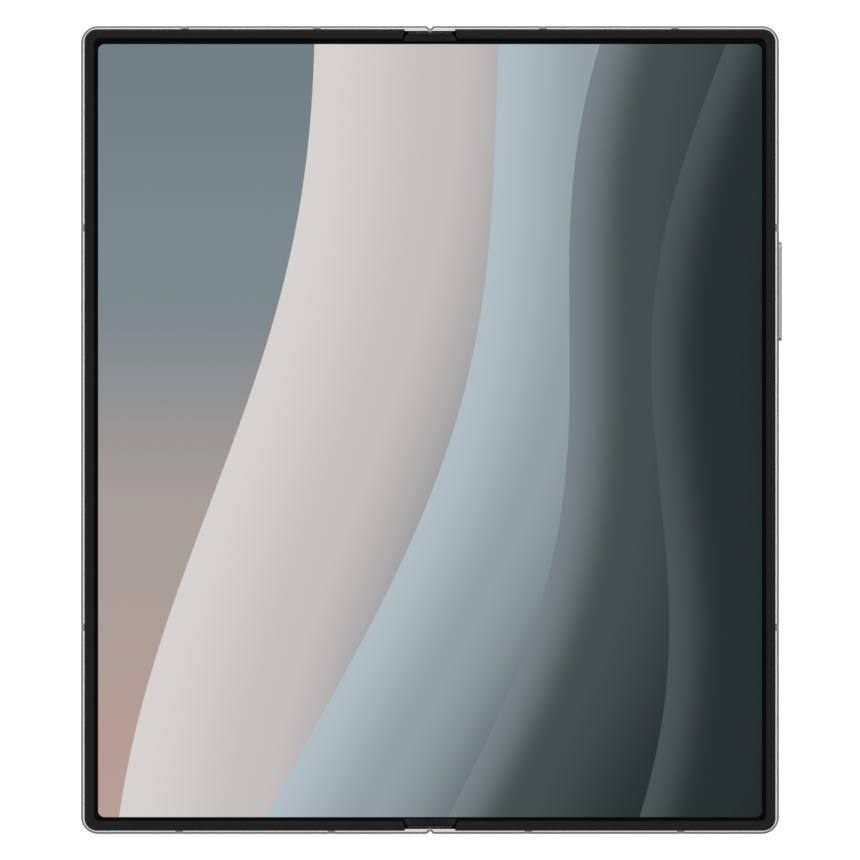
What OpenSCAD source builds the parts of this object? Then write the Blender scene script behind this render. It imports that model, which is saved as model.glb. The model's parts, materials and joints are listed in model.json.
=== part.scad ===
// Foldable phone that opens like a book, shown unfolded and lying on its back.
// X runs across the hinge, Y along it, and Z up out of the main screen. Millimetres.
// The origin is on the table, under the middle of the phone. The lens rings touch
// the table, and every level below is measured from the flat back, back_z above it.

/* [Overall] */
// Width unfolded, over both frames
open_w = 132.6; // [110:0.1:160]
// Length along the hinge
body_l = 153.5; // [128:0.1:185]
// Height of the screen rims over the back
rim_top = 5.6; // [5.6:0.1:6.8]
// Depth of the frames' flat land below the top of the rims
land_drop = 0.35; // [0.2:0.05:0.5]
// Corner radius of the frames, seen from the front
corner_r = 3.2; // [2.6:0.1:6]
// Chamfer along the frames' outer edges
edge_chamfer = 0.36; // [0.2:0.02:0.5]
// Slit between the two frames at the hinge
hinge_gap = 0.34; // [0.2:0.02:0.6]

/* [Fold] */
// Gap between the two rims when the phone is shut
closed_gap = 0.9; // [0.6:0.1:1.6]
// Depth of the fold axes below the top of the rims
axis_drop = 0.85; // [0.6:0.05:1.1]
// Thickness of the frame's lip where it is thinnest, under the fold axis
lip_t = 0.55; // [0.4:0.05:0.8]
// Running gap between the spine cover and the frames
spine_clear = 0.1; // [0.08:0.02:0.2]
// Wall of the spine cover
spine_wall = 0.4; // [0.3:0.05:0.5]
// How far the spine's flat back stands inside its side arcs
spine_flat = 0.95; // [0.7:0.05:1.2]
// Gap between a frame's end wall and the spine's end wall
spine_end_gap = 0.2; // [0.15:0.05:0.5]
// Thickness of a spine end wall
spine_end_t = 0.4; // [0.3:0.05:0.8]
// Depth that a spine end wall's top lies below the top of the rims
spine_end_drop = 1.1; // [0.8:0.05:1.4]
// Half width of a spine end wall
spine_end_half = 4.2; // [3:0.05:4.2]

/* [Screen] */
// Width of bare metal outside the rims
rim_inset = 0.72; // [0.5:0.02:1.2]
// Width of a rim, seen from the front
rim_w = 1.82; // [1.4:0.02:2.6]
// Outer corner radius of the rims
rim_r = 2.3; // [1.6:0.1:3.6]
// Inner corner radius of the rims
rim_inner_r = 1.2; // [0.8:0.1:2]
// Half width of the notch in the rims at the hinge
notch_half = 4.85; // [4.4:0.05:6]
// Thickness of the frames' end walls at the hinge notch
end_wall_t = 0.95; // [0.8:0.05:1.4]
// Height of the rims over the main screen
rim_proud = 0.5; // [0.3:0.05:0.7]
// Width of the main screen's margin that the rims cover
screen_under_rim = 0.55; // [0.3:0.05:0.9]
// Thickness of the main screen
screen_t = 0.55; // [0.4:0.05:0.7]
// Thickness of the support plate below the main screen
plate_t = 0.2; // [0.15:0.05:0.3]
// Half width of the main screen's bending stretch
fold_half = 2.6; // [2.6:0.1:3]

/* [Hinge modules] */
// Gap between the end of a friction unit and the spine's end wall
module_gap = 0.9; // [0.5:0.1:8]
// Length of one arc rail
rail_len = 4.8; // [3:0.1:7]
// Thickness of the walls that part a module's bays
cheek_t = 1; // [0.8:0.1:1.5]
// Inner radius of the arc rails, about the fold axis
rail_r0 = 1.5; // [1.3:0.05:1.6]
// Outer radius of the arc rails
rail_r1 = 2.1; // [2:0.05:2.3]
// Face width of the gears
gear_len = 2; // [1.4:0.1:3]
// Pitch radius of the four gears
gear_r = 0.945; // [0.78:0.005:0.945]
// Teeth on each of the four gears
gear_teeth = 10; // [8:2:14]
// Depth of the gear shafts below the fold axes
shaft_drop = 1.575; // [1.5:0.005:1.6]
// Radius of the gear journals
journal_r = 0.35; // [0.25:0.05:0.4]
// Distance from a gear shaft to its arm's pin
arm_l = 7; // [6.8:0.1:9]
// Width of a synchronising arm along the hinge
arm_w = 1.6; // [1:0.1:2.4]
// Thickness of the lugs that hold the pins' slots
lug_t = 1; // [0.8:0.1:1.5]
// Width of a wing bracket beyond its lugs
wing_foot = 5.6; // [5:0.1:8]
// Thickness of the friction discs
disc_t = 0.7; // [0.5:0.1:1.2]
// Length of a friction spring
spring_l = 4.6; // [3.5:0.1:8]
// Turns of a friction spring
spring_turns = 6; // [4:1:8]
// Wire diameter of a friction spring
spring_wire = 0.28; // [0.2:0.02:0.32]

/* [Frames inside] */
// Wall of the frames round the inner bay
wall = 1.7; // [1.4:0.1:2.2]
// Thickness of the plate that crosses each frame
deck_t = 0.85; // [0.6:0.05:1.1]
// Width of the solid rail beside the hinge bay
hinge_rail = 3; // [2.4:0.1:4]
// Thickness of the cover glass and of the back glass
glass_t = 0.4; // [0.3:0.05:0.5]
// Width of bare metal outside the glasses on the back
glass_inset = 0.9; // [0.7:0.1:1.6]
// Distance from the hinge slit's middle to the glasses
glass_from_hinge = 2.4; // [2.2:0.1:4]
// Thickness of the cover screen panel
cover_screen_t = 0.6; // [0.4:0.05:0.7]
// Width of a plastic antenna break along the edge
band_w = 1.4; // [1:0.1:2.5]

/* [Cameras] */
// Width of the camera island outside the lens rings
island_rim = 2; // [1.4:0.1:3]
// Margin between the island and the phone's edges
island_margin = 5.2; // [4.6:0.1:8]
// How far the island stands out of the back
island_out = 0.9; // [0.6:0.1:1.4]
// How far a lens ring stands out of the island
ring_out = 0.7; // [0.4:0.1:1]
// Outer radius of a lens ring
ring_r = 6.7; // [5.6:0.1:7]
// Distance between two lens rings
ring_pitch = 14.8; // [14:0.1:17.4]

/* [Keys and ports] */
// Length of the volume key
volume_l = 18.9; // [15:0.1:23]
// Middle of the volume key along the hinge
volume_y = 26.35; // [20:0.05:34]
// How far the volume key stands out of the frame
volume_out = 0.62; // [0.4:0.02:0.8]
// Length of the side key
side_l = 13.3; // [11:0.1:16]
// Middle of the side key along the hinge
side_y = 4.35; // [0:0.05:6]
// How far the side key stands out of the frame
side_out = 0.03; // [0:0.01:0.3]
// Height of both keys
key_h = 1.9; // [1.5:0.1:2.2]
// Travel of the side key and of the volume key's ends
key_travel = 0.22; // [0.15:0.01:0.3]
// Width of the charging socket's mouth
usb_w = 8.34; // [8.34:0.01:8.4]
// Height of the charging socket's mouth
usb_h = 2.56; // [2.56:0.01:2.6]
// Depth of the charging socket
usb_depth = 6.8; // [6:0.1:8]
// Width of the card tray's door
tray_w = 12.4; // [11.6:0.1:14]
// Length of the card tray
tray_l = 15.5; // [14.5:0.1:19]

/* [Hidden] */
$fn = 64;

// Small running clearance, and the clearance of a piece that is only set in place
run = 0.1;
seat = 0.05;
// Overshoot of a cut past the face that it opens
over = 1;

half_w = open_w / 2;
half_l = body_l / 2;
back_z = island_out + ring_out;
frame_t = rim_top - land_drop;

// Levels over the back, from the top down
screen_top = rim_top - rim_proud;
screen_z = screen_top - screen_t;
plate_z = screen_z - plate_t;
deck_z = plate_z - deck_t;
axis_z = rim_top - axis_drop;
axis_x = closed_gap / 2 + axis_drop;

// Spine cover: arcs about both fold axes, cut flat at the back
spine_r = axis_z - lip_t - spine_clear;
spine_z = axis_z - spine_r + spine_flat;
spine_floor = spine_z + spine_wall;
spine_top = axis_z - axis_x + hinge_gap / 2 - 0.02;
spine_bore = spine_r - spine_wall;
notch_y = half_l - end_wall_t;
spine_half_l = notch_y - spine_end_gap;

// Outlines of the rims and the screen, as half sizes
rim_x = half_w - rim_inset;
rim_y = half_l - rim_inset + 0.05;
screen_x = rim_x - rim_w + screen_under_rim;
screen_y = rim_y - rim_w + screen_under_rim;

// Gears: four in a row, with stub teeth
gear_or = gear_r + 0.11;
gear_root = gear_r - 0.17;
shaft_z = axis_z - shaft_drop;
shaft_x = 3 * gear_r;
slot_r = norm([shaft_x - axis_x, shaft_z - axis_z]);
slot_to = atan2(shaft_z - axis_z, shaft_x - axis_x);

// A friction unit, from the gears' module out to its own end wall
unit_l = run + 2 * disc_t + 2 * seat + spring_l + seat + cheek_t;
unit_y1 = spine_half_l - spine_end_t - module_gap;
unit_wall_y = unit_y1 - cheek_t;

// Bays of a hinge module, from its outer end inwards
module_y1 = unit_y1 - unit_l;
gear_bay_y1 = module_y1 - cheek_t;
gear_bay_y0 = gear_bay_y1 - gear_len - arm_w - 4 * run;
right_bay_y1 = gear_bay_y0 - cheek_t;
right_bay_y0 = right_bay_y1 - rail_len - 2 * run;
left_bay_y1 = right_bay_y0 - cheek_t;
left_bay_y0 = left_bay_y1 - rail_len - 2 * run;
module_y0 = left_bay_y0 - cheek_t;
gear_y = gear_bay_y0 + run;
arm_y = gear_y + gear_len + run;
arm_y1 = arm_y + arm_w;

// Wing brackets
wing_z = spine_top + run;
wing_top = plate_z - seat;
wing_x0 = axis_x + spine_r + seat;
pin_x = shaft_x + arm_l;
eye_r = 0.65;
slot_w = journal_r + seat;
lug_x1 = pin_x + eye_r + 0.4;
wing_x1 = lug_x1 + wing_foot;
rail_from = 205;
rail_to = 340;

// Inner bays of the frames
bay_x0 = axis_x + spine_r + spine_clear + hinge_rail;
bay_x1 = half_w - wall;
bay_y = half_l - wall;
bay_r = corner_r - wall / 2;
ledge_t = 0.9;
inner_z = glass_t + cover_screen_t + seat;

module raised() translate([0, 0, back_z]) children();
module on_both_ends() { children(); mirror([0, 1, 0]) children(); }
module on_left() mirror([1, 0, 0]) children();

// A box between two corners, and flat shapes drawn out along Y, X or Z
module block(x, y, z) translate([x[0], y[0], z[0]]) cube([x[1] - x[0], y[1] - y[0], z[1] - z[0]]);
module along_y(y0, y1) translate([0, y1, 0]) rotate([90, 0, 0]) linear_extrude(y1 - y0) children();
module along_x(x0, x1) translate([x0, 0, 0]) rotate([90, 0, 90]) linear_extrude(x1 - x0) children();
module along_z(z0, z1) translate([0, 0, z0]) linear_extrude(z1 - z0) children();
module disc(x, y, r, z0, z1) translate([x, y, z0]) cylinder(r = r, h = z1 - z0);

// A rectangle with rounded corners: r0 at its low-x end and r1 at its high-x end
module plate2d(x, y, r0, r1) {
    translate([x[0] + r0, y[0]]) square([x[1] - x[0] - r0 - r1, y[1] - y[0]]);
    translate([x[0], y[0] + r0]) square([r0, y[1] - y[0] - 2 * r0]);
    translate([x[1] - r1, y[0] + r1]) square([r1, y[1] - y[0] - 2 * r1]);
    for (cy = [y[0] + r0, y[1] - r0]) translate([x[0] + r0, cy]) circle(r0);
    for (cy = [y[0] + r1, y[1] - r1]) translate([x[1] - r1, cy]) circle(r1);
}

// A flat shape with half-round ends, w by l, along the second axis
module pill2d(w, l) {
    translate([-w / 2, -(l - w) / 2]) square([w, l - w]);
    for (s = [-1, 1]) translate([0, s * (l - w) / 2]) circle(w / 2);
}

// A flat shape that is alike on both sides of its second axis, from the points of its right side
module symmetric2d(right)
    polygon(concat(right, [for (i = [len(right) - 1:-1:0]) [-right[i][0], right[i][1]]]));

// A slab of half sizes hx by hy whose edge follows [inset, level] points, from low to high
module edge_slab(hx, hy, r, pts) {
    low = pts[0][1];
    high = pts[len(pts) - 1][1];
    along_y(-(hy - r), hy - r) symmetric2d([for (p = pts) [hx - p[0], p[1]]]);
    along_x(-(hx - r), hx - r) symmetric2d([for (p = pts) [hy - p[0], p[1]]]);
    for (q = [0:3])
        translate([(q == 0 || q == 3 ? 1 : -1) * (hx - r), (q < 2 ? 1 : -1) * (hy - r), 0])
            rotate([0, 0, 90 * q]) rotate_extrude(angle = 90)
                polygon(concat([[0, low]], [for (p = pts) [r - p[0], p[1]]], [[0, high]]));
}

// A stretch of a ring between two angles under 180 degrees apart
module sector2d(r0, r1, from, to) {
    far = 3 * r1;
    intersection() {
        difference() { circle(r1); circle(r0); }
        polygon(concat([[0, 0]], [for (i = [0:4]) let (t = from + (to - from) * i / 4)
            [far * cos(t), far * sin(t)]]));
    }
}

// A spur gear with straight-sided stub teeth, the first of them at the angle given
module gear2d(first) {
    pitch = 360 / gear_teeth;
    polygon([for (i = [0:gear_teeth - 1]) each [
        for (k = [[-0.36, gear_root], [-0.12, gear_or], [0.12, gear_or], [0.36, gear_root]])
            let (t = first + pitch * (i + k[0])) [k[1] * cos(t), k[1] * sin(t)]]]);
}

// ---- Frames ----

module phone_slab()
    edge_slab(half_w, half_l, corner_r,
        [[edge_chamfer, 0], [0, edge_chamfer], [0, frame_t - edge_chamfer], [edge_chamfer, frame_t]]);

// What belongs to the half at +X: its hinge edge is rounded about the fold axis
module half_region() {
    r = axis_x - hinge_gap / 2;
    along_y(-half_l - over, half_l + over) {
        translate([hinge_gap / 2, -over]) square([half_w, axis_z + over]);
        translate([axis_x, -over]) square([half_w, frame_t + 2 * over]);
        translate([axis_x, axis_z]) circle(r);
    }
}

// What is cut away to round the end walls' corners beside the hinge slit
module slit_corners() {
    r = 0.7;
    c = edge_chamfer;
    middle = [hinge_gap / 2 + r, half_l - r];
    on_both_ends() difference() {
        block([hinge_gap / 2 - over, middle[0]], [middle[1], half_l + over], [-over, frame_t + over]);
        translate(middle) rotate_extrude()
            polygon([[0, 0], [r - c, 0], [r, c], [r, frame_t - c], [r - c, frame_t], [0, frame_t]]);
    }
}

module screen_bay() {
    intersection() {
        union() {
            edge_slab(rim_x + seat, rim_y + seat, rim_r + seat, [[0, screen_z], [0, frame_t + over]]);
            edge_slab(screen_x + seat, screen_y + seat, rim_inner_r, [[0, plate_z], [0, frame_t]]);
        }
        union() {
            block([notch_half - seat, half_w], [-half_l, half_l], [0, rim_top]);
            block([0, notch_half], [-notch_y, notch_y], [0, rim_top]);
        }
    }
    block([0, notch_half], [-notch_y, notch_y], [plate_z, frame_t + over]);
}

// The bay in which the spine lies and round which the half turns
module spine_bay() along_y(-notch_y, notch_y)
    translate([axis_x, axis_z]) circle(spine_r + spine_clear);

module glass2d(grow) plate2d(
    [glass_from_hinge - grow, half_w - glass_inset + grow],
    [-(half_l - glass_inset) - grow, half_l - glass_inset + grow],
    0.8 + grow, corner_r - glass_inset + grow);

// The hollow behind the glass, up to the deck, with ledges left below the wing brackets
module inner_bay() difference() {
    along_z(glass_t - 0.01, deck_z)
        plate2d([bay_x0, bay_x1], [-bay_y, bay_y], 1, bay_r);
    on_both_ends() block([lug_x1 + seat, wing_x1 + 1], [module_y0 - 1, module_y1 + 1],
        [deck_z - ledge_t, plate_z]);
}

module wing_pockets() on_both_ends() {
    block([wing_x0 - 1, lug_x1 + seat], [module_y0 - 0.7, module_y1 + 0.7], [wing_z - 0.2, plate_z + 0.01]);
    block([wing_x0 - 1, wing_x1 + seat], [module_y0 - 0.5 - seat, module_y1 + 0.5 + seat],
        [wing_z, plate_z + 0.01]);
    block([wing_x0 - 1, lug_x1 + seat], [arm_y - lug_t - 0.5, module_y1 + 0.7], [lip_t + 0.6, plate_z]);
}

module half_shell() difference() {
    intersection() { phone_slab(); half_region(); }
    slit_corners();
    screen_bay();
    spine_bay();
    along_z(-over, glass_t) glass2d(seat);
    inner_bay();
    wing_pockets();
    wing_screw_places() disc(0, 0, 0.6, deck_z - ledge_t - over, plate_z);
}

// Antenna breaks: the places along the edges, and a piece of edge there
top_break_x = [21.5, half_w - 19.75];
bottom_break_x = [18.7, half_w - 18.65];
side_break_y = [38.4, -37.5];

module break_blocks() {
    cut_z = [-over, frame_t + over];
    for (x = top_break_x) block([x - band_w / 2, x + band_w / 2], [bay_y + 0.3, half_l + over], cut_z);
    for (x = bottom_break_x) block([x - band_w / 2, x + band_w / 2], [-half_l - over, -bay_y - 0.3], cut_z);
    for (y = side_break_y) block([bay_x1 + 0.3, half_w + over], [y - band_w / 2, y + band_w / 2], cut_z);
}

module left_frame() color("silver") raised() difference() {
    union() {
        on_left() half_shell();
        board_bosses(left_boss_places);
    }
    on_left() break_blocks();
    earpiece_slots();
    tray_opening();
    board_screw_holes(left_boss_places);
    on_left() ribbon_ways();
}

module left_antenna_breaks() color("gray") raised() on_left() intersection() {
    half_shell();
    break_blocks();
}

module right_frame() color("silver") raised() difference() {
    union() {
        half_shell();
        board_bosses(main_boss_places);
        board_bosses(lower_boss_places);
        key_rib();
    }
    break_blocks();
    camera_windows();
    key_openings();
    socket_opening();
    speaker_slots();
    board_screw_holes(main_boss_places);
    board_screw_holes(lower_boss_places);
    ribbon_ways();
}

module right_antenna_breaks() color("gray") raised() intersection() {
    half_shell();
    break_blocks();
}

// ---- Rims, screen and support plates ----

// How far the rims' ends slope back from the hinge beside the screen
rim_bevel = 0.45;

module half_rim() difference() {
    edge_slab(rim_x, rim_y, rim_r, [[0, screen_z + 0.01], [0, rim_top - 0.35], [0.3, rim_top]]);
    edge_slab(rim_x - rim_w, rim_y - rim_w, rim_inner_r,
        [[0, 0], [0, rim_top - 0.25], [-0.22, rim_top], [-0.22, rim_top + over]]);
    edge_slab(screen_x + seat, screen_y + seat, rim_inner_r, [[0, 0], [0, screen_top + seat]]);
    block([-half_w, notch_half], [-half_l, half_l], [0, rim_top + over]);
    rim_end_bevels();
}

// The rims' ends at the notch slope away from the hinge towards the screen
module rim_end_bevels() on_both_ends() along_z(0, rim_top + over) polygon([
    [notch_half - over, rim_y - rim_w - over], [notch_half + rim_bevel, rim_y - rim_w - over],
    [notch_half + rim_bevel, rim_y - rim_w], [notch_half, rim_y - 0.7], [notch_half - over, rim_y - 0.7]]);

module left_rim() color([0.14, 0.14, 0.14]) raised() on_left() half_rim();
module right_rim() color([0.14, 0.14, 0.14]) raised() half_rim();

module screen_sheet(x0, x1, z0, z1) intersection() {
    edge_slab(screen_x, screen_y, rim_inner_r - seat, [[0, z0], [0, z1]]);
    block([x0, x1], [-half_l, half_l], [0, rim_top]);
}

module main_screen_left() color([0.55, 0.6, 0.63]) raised()
    screen_sheet(-half_w, -fold_half, screen_z, screen_top);
module main_screen_right() color([0.35, 0.4, 0.42]) raised()
    screen_sheet(fold_half, half_w, screen_z, screen_top);
module main_screen_fold() color([0.45, 0.5, 0.53]) raised()
    screen_sheet(-fold_half, fold_half, screen_z, screen_top);
module left_support_plate() color("darkslategray") raised()
    screen_sheet(-half_w, -fold_half - run, plate_z, screen_z);
module right_support_plate() color("darkslategray") raised() difference() {
    screen_sheet(fold_half + run, half_w, plate_z, screen_z);
    disc(inner_camera_x, inner_camera_y, 2.4, 0, rim_top);
}

// Slotted sheet below the bending stretch: rows of slots along the hinge, every other row shifted
lattice_slot = 4;
lattice_pitch = 5;
module fold_lattice() color("dimgray") raised() difference() {
    screen_sheet(-fold_half, fold_half, plate_z, screen_z);
    rows = 5;
    count = floor((2 * screen_y - 3) / lattice_pitch) - 1;
    along_z(0, rim_top) for (r = [0:rows - 1], i = [0:count - 1])
        translate([(r - (rows - 1) / 2) * 0.9, (i - (count - 1) / 2 + (r % 2) / 2 - 0.25) * lattice_pitch])
            square([0.3, lattice_slot], center = true);
}

// Rubber caps over the ends of the bending stretch: they follow the rims' sloped ends, fall away
// towards the sides, and have two grooves that part a narrow middle
seal_half = notch_half - 0.25;
module fold_end_seals() color([0.1, 0.1, 0.1]) raised() on_both_ends() {
    y0 = rim_y - rim_w - 0.35;
    y1 = screen_y + 0.25;
    low = screen_top + 0.02;
    high = low + 0.22;
    groove_z = high - 0.07;
    intersection() {
        along_z(low, high)
            symmetric2d([[seal_half + rim_bevel, y0], [seal_half, y0 + 1.1], [seal_half, y1]]);
        along_y(y0, y1) symmetric2d([[seal_half + 1, low], [seal_half + 1, high - 0.16],
            [seal_half - 0.75, high], [0.72, high], [0.66, groove_z], [0.56, groove_z], [0.5, high]]);
    }
}

// ---- Spine ----

// Cross-section within radius r of the fold axes, between two levels
module spine2d(r, z0, z1) intersection() {
    union() {
        for (s = [-1, 1]) translate([s * axis_x, axis_z]) circle(r);
        translate([-axis_x, axis_z - r]) square([2 * axis_x, r]);
    }
    translate([-half_w, z0]) square([open_w, z1 - z0]);
}

module hinge_spine() color([0.62, 0.63, 0.65]) raised() {
    difference() {
        union() {
            along_y(-spine_half_l, spine_half_l) spine2d(spine_r, spine_z, spine_top);
            on_both_ends() along_y(spine_half_l - spine_end_t, spine_half_l)
                intersection() {
                    spine2d(spine_r - 0.15, spine_floor, rim_top - spine_end_drop);
                    translate([-spine_end_half, 0]) square([2 * spine_end_half, rim_top]);
                }
        }
        difference() {
            along_y(-(spine_half_l - spine_end_t), spine_half_l - spine_end_t)
                spine2d(spine_bore, spine_floor, spine_top + over);
            base_screw_places() disc(0, 0, spine_boss_r, 0, spine_boss_top);
        }
        base_screw_places() disc(0, 0, base_screw_r, spine_z + 0.15, spine_top);
    }
}

base_top = plate_z - 0.2;
base_half = shaft_x + journal_r + 0.5;
gear_bay_half = shaft_x + gear_or + 0.12;
// Half width of the rib that joins a friction unit's end wall to the gears' module
unit_rib = gear_r + 0.6;

// Screws hold each base down on bosses of the spine: one in its foot, and one in its rib
base_screw_r = 0.45;
base_head_r = 0.9;
base_head_t = 0.3;
spine_boss_r = 1;
spine_boss_top = spine_floor + 0.5;
foot_l = 2.6;
foot_top = spine_floor + 0.8;
foot_screw_y = module_y0 - foot_l / 2;
rib_screw_y = (module_y1 + unit_wall_y) / 2;
rib_seat = base_top - base_head_t - 0.1;
module base_screw_places() for (y = [foot_screw_y, rib_screw_y], e = [-1, 1])
    translate([0, e * y, 0]) children();

module hinge_base() difference() {
    union() {
        along_y(module_y0, module_y1) {
            spine2d(spine_bore - seat, spine_floor, spine_top - seat);
            translate([-base_half, spine_floor]) square([2 * base_half, base_top - spine_floor]);
        }
        along_y(module_y0 - foot_l, module_y0) spine2d(spine_bore - seat, spine_floor, foot_top);
        along_y(module_y1 - 0.01, unit_y1)
            translate([-unit_rib, spine_floor]) square([2 * unit_rib, base_top - spine_floor]);
        along_y(unit_wall_y, unit_y1) spine2d(spine_bore - seat, spine_floor, spine_top - seat);
        along_y(unit_wall_y, unit_y1)
            translate([-base_half, spine_floor]) square([2 * base_half, base_top - spine_floor]);
    }
    along_y(right_bay_y0, right_bay_y1) rail_way();
    along_y(left_bay_y0, left_bay_y1) mirror([1, 0]) rail_way();
    gear_bay();
    for (x = [-3, -1, 1, 3]) translate([x * gear_r, 0, 0])
        along_y(gear_bay_y0 - cheek_t + 0.2, abs(x) > 1 ? unit_y1 - 0.2 : gear_bay_y1 + cheek_t - 0.2)
            translate([0, shaft_z]) circle(journal_r + seat);
    base_screw_places() {
        disc(0, 0, spine_boss_r + seat, 0, spine_boss_top + seat);
        disc(0, 0, base_screw_r + seat, 0, rib_seat + 0.01);
        disc(0, 0, base_head_r + seat, rib_seat, plate_z);
    }
}

// Room for a rail at +X: its arc groove, and the way of the finger that carries it
module rail_way() {
    translate([axis_x, axis_z]) sector2d(rail_r0 - 0.08, rail_r1 + 0.08, rail_from - 8, rail_to + 14);
    difference() {
        translate([axis_x, spine_top - seat]) square([half_w, plate_z - spine_top]);
        translate([axis_x, axis_z]) circle(rail_r0 - 0.08);
    }
}

module gear_bay()
    block([-gear_bay_half, gear_bay_half], [gear_bay_y0, gear_bay_y1], [spine_floor - over, plate_z]);

module hinge_bases() color([0.5, 0.5, 0.52]) raised() on_both_ends() hinge_base();

module base_screw(y, head_z) translate([0, y, 0]) {
    disc(0, 0, base_head_r, head_z, head_z + base_head_t);
    disc(0, 0, base_screw_r, spine_z + 0.25, head_z + 0.01);
}
module base_screws() color("dimgray") raised() on_both_ends() {
    base_screw(foot_screw_y, foot_top);
    base_screw(rib_screw_y, rib_seat);
}

// ---- Gears and arms ----

module idler_gear(first) {
    along_y(gear_y, gear_y + gear_len) translate([gear_r, shaft_z]) gear2d(first);
    along_y(gear_bay_y0 - cheek_t + 0.3, gear_bay_y1 + cheek_t - 0.3)
        translate([gear_r, shaft_z]) circle(journal_r);
}

module sync_arm(first) {
    along_y(gear_y, gear_y + gear_len) translate([shaft_x, shaft_z]) gear2d(first);
    along_y(gear_bay_y0 - cheek_t + 0.3, unit_y1 - 0.3) translate([shaft_x, shaft_z]) circle(journal_r);
    along_y(module_y1 + run, module_y1 + run + disc_t) translate([shaft_x, shaft_z]) circle(disc_r);
    along_y(arm_y, arm_y1) arm2d();
    along_y(arm_y - lug_t, arm_y1 + lug_t) translate([pin_x, shaft_z]) circle(journal_r);
    along_y(gear_y + gear_len - 0.01, arm_y + 0.01) translate([shaft_x, shaft_z]) circle(0.7);
}

// The arm climbs over the gear bay's edge and the spine's wall, and comes down to the pin's eye
module arm2d() {
    neck_z = spine_top + 0.08;
    neck_top = plate_z - 0.15;
    wall_x = axis_x + spine_r;
    translate([shaft_x, shaft_z]) circle(0.75);
    translate([pin_x, shaft_z]) circle(eye_r);
    polygon([
        [shaft_x - 0.1, shaft_z + 0.74], [shaft_x + 0.8, neck_top], [wall_x + 0.9, neck_top],
        [pin_x + 0.2, shaft_z + eye_r - 0.04], [pin_x - 0.2, shaft_z - eye_r + 0.04],
        [wall_x + 0.15, neck_z], [gear_bay_half - 0.11, neck_z], [shaft_x + 0.2, shaft_z - 0.7]]);
}

half_tooth = 180 / gear_teeth;
module left_idler_gears() color("goldenrod") raised()
    on_both_ends() on_left() idler_gear(half_tooth);
module right_idler_gears() color("goldenrod") raised() on_both_ends() idler_gear(0);
module left_sync_arms() color("peru") raised() on_both_ends() on_left() sync_arm(0);
module right_sync_arms() color("peru") raised() on_both_ends() sync_arm(half_tooth);

// ---- Friction units: springs press keyed discs against the discs on the arms' shafts ----

// The discs clear the spine's floor
disc_r = min(1.05, shaft_z - spine_floor - 0.1);
keyed_y0 = module_y1 + run + disc_t + seat;
keyed_y1 = keyed_y0 + disc_t;
spring_y0 = keyed_y1 + seat;
spring_y1 = unit_wall_y - seat;

// A flat on each keyed disc bears on the rib between the shafts
module keyed_disc() along_y(keyed_y0, keyed_y1) difference() {
    union() {
        translate([shaft_x, shaft_z]) circle(disc_r);
        translate([unit_rib + seat, shaft_z - 0.8]) square([shaft_x - unit_rib - seat, 1.6]);
    }
    translate([shaft_x, shaft_z]) circle(journal_r + seat);
}
module friction_discs() color([0.75, 0.6, 0.35]) raised() on_both_ends()
    for (s = [0, 1]) mirror([s, 0, 0]) keyed_disc();

// A coil of round wire about the Y axis, as one closed tube with flat ends
module coil_spring(r, wire, turns, y0, y1) {
    sides = 6;
    steps = 12 * turns;
    rings = [for (i = [0:steps])
        let (t = 360 * turns * i / steps, y = y0 + wire / 2 + (y1 - y0 - wire) * i / steps)
        [for (k = [0:sides - 1]) let (a = 360 * k / sides, d = r + wire / 2 * cos(a))
            [d * cos(t), y + wire / 2 * sin(a), d * sin(t)]]];
    polyhedron(points = [for (ring = rings) each ring], faces = concat(
        [[for (k = [0:sides - 1]) k]],
        [for (i = [0:steps - 1], k = [0:sides - 1]) let (a = i * sides, b = a + sides, n = (k + 1) % sides)
            each [[a + k, b + k, b + n], [a + k, b + n, a + n]]],
        [[for (k = [sides - 1:-1:0]) steps * sides + k]]));
}
module friction_springs() color([0.7, 0.7, 0.72]) raised() on_both_ends() for (s = [-1, 1])
    translate([s * shaft_x, 0, shaft_z])
        coil_spring(disc_r - spring_wire / 2 - seat, spring_wire, spring_turns, spring_y0, spring_y1);

// ---- Wing brackets ----

wing_screw_y = [module_y0 + 1.5, (module_y0 + module_y1) / 2, module_y1 - 1.5];
module wing_screw_places() for (e = [-1, 1], y = wing_screw_y)
    translate([lug_x1 + wing_foot / 2 + 0.2, e * y, 0]) children();

// A slot along which the arm's pin travels as the half turns through a right angle
module pin_slot2d() translate([axis_x + arm_l, axis_z]) {
    sector2d(slot_r - slot_w, slot_r + slot_w, slot_to - 90, slot_to);
    for (t = [slot_to - 90, slot_to]) translate([slot_r * cos(t), slot_r * sin(t)]) circle(slot_w);
}

module lug2d() difference() {
    translate([wing_x0, axis_z - slot_r - slot_w - 0.35])
        square([lug_x1 - wing_x0, wing_top - axis_z + slot_r + slot_w + 0.35]);
    translate([axis_x, axis_z]) circle(spine_r + spine_clear + seat);
    pin_slot2d();
}

module wing_bracket(bay_y0, bay_y1) difference() {
    union() {
        block([wing_x0, wing_x1], [module_y0 - 0.5, module_y1 + 0.5], [wing_z, wing_top]);
        along_y(arm_y - lug_t - run, arm_y - run) lug2d();
        along_y(arm_y1 + run, arm_y1 + run + lug_t) lug2d();
        along_y(bay_y0 + run, bay_y1 - run) {
            translate([axis_x, axis_z]) sector2d(rail_r0, rail_r1, rail_from, rail_to);
            difference() {
                translate([axis_x + rail_r0 * 0.8, wing_z]) square([wing_x0 - axis_x, wing_top - wing_z]);
                translate([axis_x, axis_z]) circle(rail_r0);
            }
        }
    }
    block([0, lug_x1 - 0.25], [arm_y - run, arm_y1 + run], [0, plate_z]);
    wing_screw_places() {
        disc(0, 0, 0.6, 0, plate_z);
        disc(0, 0, 1.15, wing_top - 0.3, plate_z);
    }
}

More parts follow.
